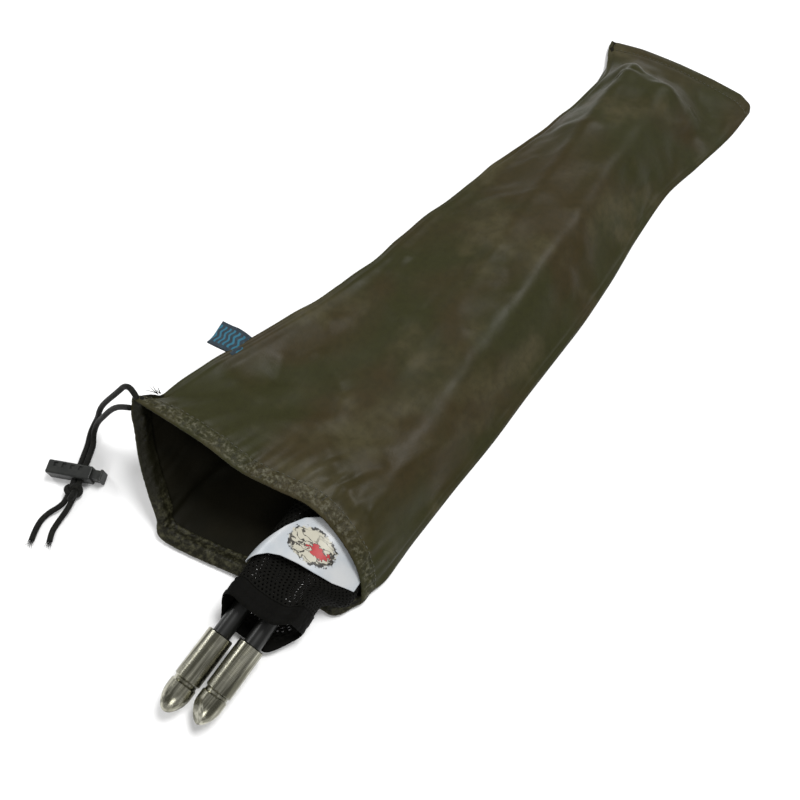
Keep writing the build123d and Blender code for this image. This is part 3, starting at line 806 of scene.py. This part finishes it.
UNDER = [
    (-206, [(-69, 58), (-63.5, 44), (-58, 31), (-48.5, 19), (-39, 8), (-29, 0.1), (20, 0.1), (71.6, 0.6)]),
    (-160, [(-69, 57), (-63.5, 44), (-58, 31), (-48.5, 19), (-39, 8), (-29, 0.1), (20, 0.1), (71.6, 0.6)]),
    (-146, [(-67.3, 44.5), (-61.5, 34), (-55.5, 25), (-47, 15.5), (-38, 6.5), (-28.5, 0.1), (20, 0.1),
            (74, 0.6)]),
    (-120, [(-64.2, 40), (-59, 32), (-53.5, 22), (-45, 13), (-36.5, 5), (-28, 0.1), (20, 0.1),
            (73.4, 0.5)]),
    (-92, [(-58.5, 34.5), (-55, 26), (-50, 17), (-43, 9), (-36, 3.4), (-28, 0.1), (20, 0.1), (73.4, 0.4)]),
    (-50, [(-49, 29), (-46.5, 21), (-43, 13), (-38, 6.5), (-32, 2.2), (-25, 0.1), (20, 0.1), (74.2, 0.4)]),
    (-10, [(-43.2, 24.5), (-41.5, 17), (-38.5, 10.5), (-34.5, 5.2), (-29.5, 1.8), (-23, 0.1),
           (20, 0.1), (73.4, 0.4)]),
    (35, [(-41, 19.5), (-40, 13), (-37, 7.5), (-33, 3.5), (-28, 1.2), (-22, 0.1), (20, 0.1), (73.4, 0.4)]),
    (78, [(-35.3, 15.5), (-34.5, 10), (-32, 6), (-28, 2.8), (-23.5, 0.9), (-18, 0.1), (20, 0.1),
          (71.2, 0.4)]),
    (120, [(-30.3, 13), (-29.5, 8), (-27, 4.5), (-23, 2), (-18.5, 0.6), (-12, 0.1), (20, 0.1),
           (66.8, 0.4)]),
    (160, [(-24, 10), (-23.5, 6.5), (-22, 4), (-19.5, 1.8), (-16, 0.5), (-11, 0.1), (20, 0.1),
           (64.6, 0.4)]),
    (195, [(-21.2, 8), (-21, 5), (-20, 3), (-18, 1.5), (-15, 0.5), (-10, 0.1), (20, 0.1), (69.2, 0.4)]),
    (240, [(-28.2, 3.8), (-27.2, 2.4), (-26, 1.4), (-23.5, 0.7), (-20, 0.3), (-16, 0.1), (20, 0.1),
           (74.2, 0.5)]),
    (268, [(-38, 1.9), (-35, 0.9), (-32, 0.5), (-28, 0.2), (-22, 0.1), (-18, 0.1), (20, 0.1), (74, 0.6)]),
]
# Centre line of the drawcord's channel round the mouth, from the ridge seam over the top to
# the right corner, and back along the floor and up the left wall.
TOP_RIM = [(-70.2, -161, 57.5), (-32.5, -156.2, 50), (-8.9, -154.8, 44), (9.4, -150.6, 40),
           (27.4, -146.1, 36), (44.4, -147.8, 32.6), (59.4, -152.1, 25), (67.6, -157, 13),
           (71.6, -162.5, 3.4)]
UNDER_RIM = [(-70.2, -161, 57.5), (-68.4, -166.2, 51.5), (-64.3, -170.8, 45), (-58, -179.5, 31),
             (-48.5, -187.8, 19), (-39, -194.5, 9.5), (-29, -200.5, 2.6), (16.5, -189.5, 2.2),
             (52, -178.5, 2.2), (65, -175.5, 2.2), (71.6, -162.5, 3.4)]
FAR_EDGE = [(-38.4, 258.2), (-15, 264.2), (14, 268.2), (40, 269.2), (62, 268.4), (71, 264), (74, 258.2)]
TOP_COLUMNS, UNDER_COLUMNS, ROWS = 58, 62, 132
FOLD_R = 0.8                # from the rim's drawn line to the channel's outer face
LIP_R = 0.85                # folded edge of the mouth
FINER = 3                   # columns of the finished cloth to one of the grid's
CASING_STITCH, HEM_STITCH = 8.6, 8.0    # from the mouth's edge, and from the far end
CLOTH = 0.45                # thickness of the sack's nylon and the sleeve's net


def stations_to_columns(stations, count):
    rings = [resample(spline(outline), count) for _, outline in stations]
    return np.array([y for y, _ in stations], float), np.array(rings)


def sack_surface():
    """Outer face of the sack as a grid of points (columns round, rows from the mouth to the far end)."""
    columns = []
    halves = ((TOP, TOP_RIM, TOP_COLUMNS, False), (UNDER, UNDER_RIM, UNDER_COLUMNS, True))
    for stations, rim, count, start in halves:
        ys, rings = stations_to_columns(stations, count + 1)
        edge = resample(spline(rim), count + 1)
        order = range(count, 0, -1) if start else range(count)
        for c in order:
            x_end = rings[-1, c, 0]
            far = np.interp(x_end, [p[0] for p in FAR_EDGE], [p[1] for p in FAR_EDGE])
            y = edge[c, 1] + (far - edge[c, 1]) * np.linspace(0, 1, ROWS)
            parts = cubic_rows(ys, rings, y)
            xz = hermite(*parts, c)
            columns.append(np.stack([xz[:, 0], y, xz[:, 1]], axis=1))
    return np.array(columns), np.array([
        *resample(spline(TOP_RIM), TOP_COLUMNS + 1)[:-1],
        *resample(spline(UNDER_RIM), UNDER_COLUMNS + 1)[:0:-1]])


def meet_rim(grid, rim):
    """Moves the grid's mouth onto the channel's outer face, fading out along the sack."""
    for _ in range(2):
        out = grid_normals(grid, True)[:, 0]
        out = unit(out + np.roll(out, 1, axis=0) + np.roll(out, -1, axis=0))
        shift = rim + out * FOLD_R - grid[:, 0]
        along = np.linalg.norm(grid - grid[:, :1], axis=2)
        from_ridge = np.minimum(np.linalg.norm(rim - rim[0], axis=1), 60.0)
        fade = 1 - smooth_step(along / (15.0 + 27.0 * smooth_step(from_ridge / 30.0))[:, None])
        grid = grid + shift[:, None] * fade[..., None]
    grid[..., 2] = np.maximum(grid[..., 2], 0.1)
    return grid


def upsample(grid, times_u, times_v):
    """Catmull-Rom refinement of a ring grid, periodic along its columns."""
    def along(p, times, axis, periodic):
        p = np.moveaxis(p, axis, 0)
        if periodic:
            before, after, after2 = np.roll(p, 1, 0), np.roll(p, -1, 0), np.roll(p, -2, 0)
        else:
            q = np.concatenate([2 * p[:1] - p[1:2], p, 2 * p[-1:] - p[-2:-1]])
            before, after, after2 = q[:-3], q[2:-1], q[3:]
            last, p = p[-1:], p[:-1]
        out = []
        for s in range(times):
            out.append(catmull_rom(before, p, after, after2, s / times))
        full = np.stack(out, axis=1).reshape(-1, *p.shape[1:])
        if not periodic:
            full = np.concatenate([full, last])
        return np.moveaxis(full, 0, axis)
    return along(along(grid, times_v, 1, False), times_u, 0, True)


def bundle_proxy():
    """Closed body round the sleeve and card, which the cloth drapes over."""
    rings = []
    for y in np.linspace(20, 440, 60):
        shut = smooth_step((y - 395) / 45)
        ring = resample(spline(sleeve_outline(max(y, 24.0)), closed=True), 49)[:-1]
        ring = ring + 1.9 * outward(ring)
        ring[:, 1] = ring[:, 1] * (1 - 0.55 * shut) - 2.0 * shut
        rings.append(np.stack([ring[:, 0], np.full(48, y), ring[:, 1]], axis=1))
    points = np.transpose(np.array(rings), (1, 0, 2))
    obj = grid_mesh("bundle_proxy", points, around=True)
    obj.data.transform(Matrix.Scale(1 / MM, 4))
    obj.data.transform(BUNDLE)
    obj.data.transform(Matrix.Scale(MM, 4))
    return obj


def clear_bundle(grid):
    """Lifts the top panel just clear of the bundle under it."""
    ring = resample(spline(WIDE, closed=True), 241)[:-1]
    out = outward(ring)
    ring = ring + 2.4 * out
    crown = ring[out[:, 1] > 0.05]
    crown = crown[np.argsort(crown[:, 0])]
    local = placed_by(np.linalg.inv(np.array(BUNDLE)), grid)
    shut = smooth_step((local[..., 1] - 431) / 15)
    height = np.interp(local[..., 0], crown[:, 0], crown[:, 1], left=-40, right=-40)
    height = np.where(local[..., 1] < 446, height * (1 - 0.6 * shut) - 4.0 * shut, -40) + BUNDLE.translation.z
    z = grid[..., 2]
    lifted = 0.5 * (z + height + np.sqrt((z - height) ** 2 + 1.0))
    grid = grid.copy()
    grid[:TOP_COLUMNS, :, 2] = lifted[:TOP_COLUMNS]
    return grid


def soften(field, passes):
    """Averages a ring grid's vectors with their neighbours."""
    for _ in range(passes):
        field = 0.5 * field + 0.25 * (np.roll(field, 1, axis=0) + np.roll(field, -1, axis=0))
        field[:, 1:-1] = 0.5 * field[:, 1:-1] + 0.25 * (field[:, 2:] + field[:, :-2])
    return field


def drape(grid):
    """Cloth simulation: spare length buckles into soft folds and sags over the bundle."""
    scene = bpy.context.scene
    cloth_obj = grid_mesh("drape", grid, around=True)
    count_u, count_v = grid.shape[:2]
    along = np.linalg.norm(grid - grid[:, :1], axis=2)
    left = np.linalg.norm(grid - grid[:, -1:], axis=2)
    hold = 0.10 + 0.90 * (1 - smooth_step((along - 8) / 26)) + 0.90 * (1 - smooth_step((left - 5) / 16))
    low = grid[..., 2] < 1.0
    hold = np.where(low, np.maximum(hold, 0.5), hold)
    for seam, strength in ((0, 0.55), (TOP_COLUMNS, 0.65)):
        hold[seam] = np.maximum(hold[seam], strength)
    group = cloth_obj.vertex_groups.new(name="held")
    for i, w in enumerate(np.clip(hold, 0, 1).ravel()):
        group.add([i], float(w), "REPLACE")
    proxies = [bundle_proxy()]
    bpy.ops.mesh.primitive_plane_add(size=2.0, location=(0, 0, -0.0006))
    proxies.append(bpy.context.object)
    for proxy in proxies:
        bpy.context.view_layer.objects.active = proxy
        proxy.modifiers.new("collision", "COLLISION")
        proxy.collision.thickness_outer = 0.0006
        proxy.collision.cloth_friction = 8.0
        proxy.collision.thickness_inner = 0.004
        proxy.collision.use_culling = False
    cloth = cloth_obj.modifiers.new("cloth", "CLOTH")
    s = cloth.settings
    s.quality, s.mass, s.air_damping = 7, 0.12, 2.0
    s.tension_stiffness = s.compression_stiffness = 22.0
    s.shear_stiffness, s.bending_stiffness = 12.0, 1.1
    s.tension_damping = s.compression_damping = s.shear_damping = 12.0
    s.bending_damping = 1.5
    s.vertex_group_mass = "held"
    s.pin_stiffness = 1.0
    s.shrink_min = -0.016
    c = cloth.collision_settings
    c.use_collision, c.use_self_collision = True, False
    c.distance_min, c.collision_quality = 0.0006, 2
    s.effector_weights.gravity = 0.35
    cloth.point_cache.frame_end = DRAPE_FRAMES
    for number in range(1, DRAPE_FRAMES + 1):
        scene.frame_set(number)
    bpy.context.view_layer.update()
    graph = bpy.context.evaluated_depsgraph_get()
    done = bpy.data.meshes.new_from_object(cloth_obj.evaluated_get(graph))
    co = np.zeros(len(done.vertices) * 3, np.float32)
    done.vertices.foreach_get("co", co)
    for obj in [cloth_obj, *proxies]:
        bpy.data.objects.remove(obj)
    scene.frame_set(1)
    moved = soften(co.reshape(count_u, count_v, 3).astype(float) / MM - grid, 2)
    for seam, reach in ((0, 9.0), (TOP_COLUMNS, 16.0)):
        moved *= smooth_step(np.linalg.norm(grid - grid[seam], axis=2) / reach)[..., None]
    moved[TOP_COLUMNS:] *= smooth_step((grid[TOP_COLUMNS:, :, 2] - 1.0) / 8.0)[..., None]
    far = np.linalg.norm(moved, axis=2, keepdims=True)
    return grid + moved * np.minimum(1.0, DRAPE_CAP / np.maximum(far, 1e-6))


DRAPE_FRAMES = 26
DRAPE_CAP = 4.5

# ---- sack details -----------------------------------------------------------------------
# Soft creases in the top panel, in plan: from, to, height of the ridge and its half width.
CREASES = [
    ((-44, -86), (-30, -106), -1.2, 6.0), ((-30, -74), (0, -86), 1.9, 6.5), ((0, -86), (8, -106), 1.5, 6.0),
    ((-5, -107), (20, -121), 1.4, 5.5), ((20, -121), (33, -126), 1.8, 5.5), ((33, -126), (50, -138),
                                                                             1.7, 5.0),
    ((33, -124), (44, -104), -1.5, 5.0), ((49, -138), (52, -110), 1.5, 5.0), ((22, -137), (31, -120),
                                                                              -1.3, 5.0),
    ((-54, -119), (-27, -117), 0.9, 6.0), ((-38, -61), (-28, -44), 1.5, 6.5), ((-32, 12), (-28, -12),
                                                                               1.3, 6.0),
    ((-24, 66), (18, 96), 1.4, 7.0), ((-6, 46), (16, 40), 1.4, 6.0), ((16, 40), (34, 20), -1.1, 6.0),
    ((45, -128), (66, -158), -1.5, 3.6), ((49, -126), (70, -156), 1.3, 3.6), ((50, 62), (60, 46), 1.1, 5.5),
    ((-18, 146), (10, 160), 1.2, 6.0), ((0, 228), (12, 236), -1.4, 5.0), ((-8, 190), (26, 214), 0.9, 7.0),
    ((36, 150), (52, 120), -1.0, 6.0), ((10, 0), (44, -34), 1.0, 7.0), ((30, 96), (50, 74), 1.0, 6.5),
    ((-32, -20), (2, -34), 1.2, 6.5), ((48, -108), (60, -60), 1.3, 5.0), ((-22, 100), (-10, 120), 1.1, 6.0)]


def crease_lift(x, y):
    lift = np.zeros_like(x)
    for (x0, y0), (x1, y1), height, width in CREASES:
        dx, dy = x1 - x0, y1 - y0
        t = np.clip(((x - x0) * dx + (y - y0) * dy) / (dx * dx + dy * dy), 0, 1)
        gone = np.hypot(x - x0 - t * dx, y - y0 - t * dy)
        ends = smooth_step(np.minimum(t, 1 - t) * 3 + 0.3)
        lift += height * ends / (1 + (gone / width) ** 2) ** 1.5
    return lift


def noise_field(points, scale, shift=0.0):
    flat = (points / scale + shift).reshape(-1, 3)
    return np.array([noise.noise(Vector(p)) for p in flat]).reshape(points.shape[:-1])


def sack_shell():
    grid, rim = sack_surface()
    grid = clear_bundle(meet_rim(grid, rim))
    grid = clear_bundle(drape(grid))
    fine = upsample(grid, FINER, 2)
    columns, rows = fine.shape[:2]
    steps = np.cumsum(np.linalg.norm(np.diff(fine, axis=1), axis=2), axis=1)
    along = np.concatenate([np.zeros((columns, 1)), steps], axis=1)
    to_end = along[:, -1:] - along
    out = grid_normals(fine, True)
    top = np.zeros(columns)
    top[:FINER * TOP_COLUMNS] = 1
    # distance round the sack from its two seams
    step = np.linalg.norm(np.roll(fine, -1, axis=0) - fine, axis=2)
    round_left = np.concatenate([np.zeros((1, rows)), np.cumsum(step, axis=0)[:-1]])
    girth = step.sum(axis=0)
    right_at = round_left[FINER * TOP_COLUMNS]
    from_left = np.minimum(round_left, girth - round_left)
    from_right = np.abs(round_left - right_at)

    lift = top[:, None] * crease_lift(fine[..., 0], fine[..., 1])
    lift = lift * smooth_step(from_right / 8) * smooth_step(from_left / 6)
    lift *= smooth_step((along - 8) / 10) * smooth_step((to_end - 6) / 10)
    mid = smooth_step((along - 9) / 12) * smooth_step((to_end - 8) / 12)
    lift += (0.35 + 0.45 * top[:, None]) * mid * noise_field(fine, 17.0)
    lift += 0.55 * mid * noise_field(fine * np.array([1, 0.45, 1]), 26.0, 3.1)
    # gathers that run in from the channel, and puckers inside it
    around = np.stack([round_left / 5.2, along / 40.0, np.full_like(along, 2.0)], axis=-1)
    gather = noise_field(around, 1.0) * np.exp(-((along - 11) / 14.0) ** 2) * smooth_step((along - 1) / 6)
    lift += 1.15 * gather
    pucker = noise_field(np.stack([round_left / 2.3, along / 9.0, np.zeros_like(along)], axis=-1), 1.0)
    channel = smooth_step(along / 1.5) * (1 - smooth_step((along - 7.0) / 1.6))
    lift += 0.95 * pucker * channel
    lift -= (0.30 + 0.2 * pucker) * np.exp(-((along - CASING_STITCH) / 0.8) ** 2)
    # seams: a rolled ridge on the left, a stitched line by the right edge, the hem at the far end
    lift += 0.55 * np.exp(-(from_left / 1.1) ** 2) * smooth_step((along - 6) / 8)
    lift -= 0.45 * np.exp(-((from_left - 2.6) / 0.9) ** 2) * smooth_step((along - 6) / 8)
    lift -= 0.35 * np.exp(-((from_right - 5.0) / 1.0) ** 2) * mid
    lift -= 0.5 * np.exp(-((to_end - HEM_STITCH) / 1.1) ** 2)
    lift += 0.35 * np.exp(-((to_end - 4.0) / 2.5) ** 2) * (0.6 + 0.8 * pucker)
    lift = np.where(fine[..., 2] < 1.2, 0.0, lift)      # flat where it lies on the floor
    fine = fine + out * lift[..., None]
    fine[..., 2] = np.maximum(fine[..., 2], 0.05)

    # the channel rolls inwards round the drawcord and ends in a stitched flap
    mouth = fine[:, 0]
    out0 = unit(out[:, 0] + np.roll(out[:, 0], 1, axis=0) + np.roll(out[:, 0], -1, axis=0))
    forward = fine[:, 0] - fine[:, 2]
    forward = unit(forward - out0 * (forward * out0).sum(axis=1, keepdims=True))
    round_u = np.stack([round_left[:, 0] / 2.1, np.zeros(columns), np.full(columns, 5.0)], axis=-1)
    ripple = 1 + 0.25 * noise_field(round_u, 1.0)
    wrinkle_u = np.stack([round_left[:, 0] / 3.4, np.full(columns, 1.7), np.zeros(columns)], axis=-1)
    wrinkle = noise_field(wrinkle_u, 1.0)

    def inside(distance, depth):
        place = np.array([[np.interp(distance, along[c], fine[c, :, k]) for k in range(3)]
                          for c in range(columns)])
        return place - out0 * depth[:, None]

    flap = ((10.5, 0.95, 0.3), (9.6, 0.95, 0.4), (8.4, 1.2, 0.5), (7.0, 2.0, 0.7), (5.6, 3.0, 0.7),
            (4.2, 3.4, 0.6),
            (2.8, 3.0, 0.4), (1.4, 2.2, 0.2))
    roll = [inside(d, np.maximum(gap + sway * wrinkle, 0.75)) for d, gap, sway in flap]
    for angle in np.radians(np.linspace(-75, 75, 7)):
        r = LIP_R * ripple[:, None]
        roll.append(mouth - out0 * LIP_R + out0 * (r * math.sin(angle)) + forward * (r * math.cos(angle)))
    centre = inside(4.2, np.full(columns, 1.75))
    roll = np.stack(roll, axis=1)
    whole = np.concatenate([roll, fine], axis=1)
    whole[..., 2] = np.maximum(whole[..., 2], 0.05)

    rolled = np.linalg.norm(np.diff(whole[:, :roll.shape[1] + 1], axis=1), axis=2)
    back = np.concatenate([np.cumsum(rolled[:, ::-1], axis=1)[:, ::-1] * -1, along], axis=1)
    width = float(np.median(girth)) * np.arange(columns) / columns
    uv = np.stack([np.repeat(width[:, None], whole.shape[1], axis=1), back], axis=-1) * MM
    shell = grid_mesh("sack_shell", whole, around=True, uv=uv)
    # The inner face gets the inside material, darkened as painted shade.
    shell = solidify(shell, CLOTH, inside=(MATERIALS["nylon"], MATERIALS["inside"]))
    facts = {"fine": fine, "out": out, "along": along, "to_end": to_end, "centre": centre}
    return shell, facts


def at_distance(facts, field, distance):
    """Point and normal on every column where field reaches a distance."""
    spots, faces = [], []
    rising = field[0, -1] > field[0, 0]
    for c in range(field.shape[0]):
        f, p, n = field[c], facts["fine"][c], facts["out"][c]
        if not rising:
            f, p, n = f[::-1], p[::-1], n[::-1]
        spots.append([np.interp(distance, f, p[:, k]) for k in range(3)])
        faces.append([np.interp(distance, f, n[:, k]) for k in range(3)])
    return np.array(spots), np.array(faces)


def stitch_row(points, normals, pitch=3.0, length=2.1, radius=0.24, lift=0.10):
    """Thread dashes along a line: tapered six-sided beads as one array of points and faces."""
    steps = run_length(points)
    verts, faces = [], []
    for s in np.arange(1.0, steps[-1] - length, pitch):
        ends = [np.array([np.interp(s + t * length, steps, points[:, k]) for k in range(3)])
                for t in (0, 0.5, 1)]
        up = unit(np.array([np.interp(s, steps, normals[:, k]) for k in range(3)]))
        run = unit(ends[2] - ends[0])
        side = np.cross(run, up)
        base = len(verts)
        for share, size in ((0.0, 0.35), (0.2, 0.9), (0.5, 1.0), (0.8, 0.9), (1.0, 0.35)):
            spot = ends[0] + (ends[2] - ends[0]) * share + up * (lift if 0.1 < share < 0.9 else -0.15)
            for k in range(6):
                a = math.pi / 3 * k
                verts.append(spot + radius * size * (math.cos(a) * side + math.sin(a) * up))
        for ring in range(4):
            for k in range(6):
                a, b = base + 6 * ring + k, base + 6 * ring + (k + 1) % 6
                faces.append((a, b, b + 6, a + 6))
        faces += [tuple(base + k for k in range(5, -1, -1)), tuple(base + 24 + k for k in range(6))]
    return verts, faces


def stitching(facts):
    verts, faces = [], []
    lines = []
    points, normals = at_distance(facts, facts["along"], CASING_STITCH)
    lines.append((np.vstack([points, points[:1]]), np.vstack([normals, normals[:1]])))
    points, normals = at_distance(facts, facts["to_end"], HEM_STITCH)
    top = FINER * TOP_COLUMNS
    lines.append((points[2:top - 1], normals[2:top - 1]))
    for points, normals in lines:
        v, f = stitch_row(points, normals)
        faces += [tuple(i + len(verts) for i in face) for face in f]
        verts += v
    mesh = bpy.data.meshes.new("sack_stitching")
    mesh.from_pydata((np.array(verts) * MM).tolist(), [], faces)
    mesh.shade_smooth()
    return add_object("sack_stitching", mesh)


def thread_material():
    f = Finish("olive_thread", Specular_IOR_Level=0.3, Sheen_Weight=0.2)
    fine = f.noise(2400.0, 2.0, 0.6)
    f.mottle(fine, 0.3, 0.7, (0.030, 0.030, 0.018), (0.060, 0.057, 0.036))
    f.roughen(fine, 0.55, 0.75)
    f.bump(fine, 0.04, 0.7)
    return f.mat


def fibres(name, root, heading, count, reach, spread, thin, seed):
    """Loose fibres that fan out from a cut end."""
    chance = random.Random(seed)
    parts = []
    heading = Vector(heading).normalized()
    for n in range(count):
        aim = (heading + spread * Vector([chance.uniform(-1, 1) for _ in range(3)])).normalized()
        curl = spread * 0.8 * Vector([chance.uniform(-1, 1) for _ in range(3)])
        start = Vector(root) + 0.9 * Vector([chance.uniform(-1, 1) for _ in range(3)])
        length = reach * chance.uniform(0.5, 1.0)
        path = [start + aim * (length * t) + curl * (length * t * t) for t in np.linspace(0, 1, 7)]
        path = [(p.x, p.y, max(p.z, thin + 0.05)) for p in path]
        taper = 0.7 / max(length, 1)
        parts.append(tube_mesh(f"{name}_{n}", np.array(path), lambda s, a: thin * (1.1 - taper * s), sides=6))
    return join(name, parts)


def knot():
    """Overhand knot in the doubled drawcord."""
    place = LOCK_PLACE @ Matrix.Translation((CROSSING, -10.6, 0.0))
    t = np.linspace(0, 2 * math.pi, 220, endpoint=False)
    x = (np.sin(t) + 2 * np.sin(2 * t)) * 1.12
    y = (np.cos(t) - 2 * np.cos(2 * t)) * 1.42
    z = -np.sin(3 * t) * 1.75
    path = placed_by(place, np.stack([x, y, z], axis=1))
    return tube_mesh("cord_knot", path, lambda s, a: braid(s, a) * 1.12, sides=20, closed=True)


# ---- stage ------------------------------------------------------------------------------
def make_stage():
    bpy.ops.mesh.primitive_plane_add(size=6.0, location=(0, 0, -0.0002))
    floor = bpy.context.object
    floor.name = "floor"
    f = Finish("pale_floor", Roughness=0.85, Specular_IOR_Level=0.2)
    f.mottle(f.noise(3.0), 0.3, 0.7, (0.93, 0.93, 0.93), (0.95, 0.95, 0.95))
    floor.data.materials.append(f.mat)

    world = bpy.data.worlds.new("studio")
    world.use_nodes = True
    world.node_tree.nodes["Background"].inputs["Color"].default_value = (1.0, 1.0, 1.0, 1.0)
    world.node_tree.nodes["Background"].inputs["Strength"].default_value = 0.42
    bpy.context.scene.world = world
    lamps = (("key", (0.55, 1.25, 2.9), 1.2, 82.0), ("left", (-2.4, 0.2, 1.6), 0.9, 24.0),
             ("front", (1.2, -2.4, 2.0), 1.2, 26.0))
    for name, spot, size, power in lamps:
        light = bpy.data.lights.new(name, "AREA")
        light.shape, light.size, light.energy = "DISK", size, power
        obj = bpy.data.objects.new(name, light)
        obj.location = spot
        obj.rotation_euler = (-Vector(spot)).to_track_quat("-Z", "Y").to_euler()
        bpy.context.scene.collection.objects.link(obj)
    bpy.context.scene.view_settings.view_transform = "Standard"


make_camera()
MATERIALS = {
    "cord": braided_cord(), "plastic": black_plastic(), "spring": spring_steel(),
    "tube": anodised_black(), "ferrule": bare_aluminium(), "nickel": satin_nickel(),
    "elastic": elastic_cord(), "nylon": coated_nylon(), "inside": nylon_inside(), "net": black_net(),
    "hem": black_hem(), "thread": thread_material(), "label": woven_label()}
dress_cad(MATERIALS)


def dress(piece, material, body, slot, *nodes):
    if material:
        piece.data.materials.clear()
        piece.data.materials.append(material)
    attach(piece, body)
    if nodes:
        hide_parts(*nodes)
    return piece


spring = lock_spring()
spring.data.materials.append(MATERIALS["spring"])
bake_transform(spring)
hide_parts("cord_lock_spring")

knot_piece = dress(knot(), MATERIALS["cord"], "sack", "black_cord", "drawcord_knot")
for name, route in (("drawcord_upper", UPPER_STRAND), ("drawcord_lower", LOWER_STRAND)):
    piece, path, length = strand(name, route)
    dress(piece, MATERIALS["cord"], "sack", "black_cord", "drawcord_strand_" + name.split("_")[1])
    ends = fibres(name + "_fray", path[-1], path[-1] - path[-4], 22, 4.2, 0.42, 0.11, len(name))
    dress(ends, MATERIALS["cord"], "sack", "black_cord")

shell, facts = sack_shell()
dress(shell, None, "sack", "coated_nylon", "sack_upper_panel", "sack_lower_panel", "mouth_casing")
inner_cord = tube_mesh("casing_cord", facts["centre"], lambda s, a: CASING_CORD_R, sides=10, closed=True)
dress(inner_cord, MATERIALS["cord"], "sack", "black_cord", "drawcord_in_casing")
stitches = dress(stitching(facts), MATERIALS["thread"], "sack", "coated_nylon")
loose = fibres("loose_threads", (-67.6, -150.5, 48.0), (-0.55, 0.1, 0.9), 5, 5.5, 0.55, 0.26, 11)
dress(loose, MATERIALS["cord"], "sack", "coated_nylon")
label = dress(label_loop(), MATERIALS["label"], "sack", "woven_label", "woven_label")

table, ys = sleeve_point_table()
net = dress(net_mesh(table, ys), MATERIALS["net"], "mesh_sleeve_body", "black_mesh", "mesh_sleeve")
cap = dress(end_cap(table), MATERIALS["hem"], "mesh_sleeve_body", "black_mesh")
hem = dress(hem_band(table, ys), MATERIALS["hem"], "mesh_sleeve_body", "black_hem", "mesh_sleeve_hem")
wrap, arch, arch_length = card()
dress(wrap, printed_card(arch, arch_length), "wrap", "printed_card", "printed_wrap")
make_stage()
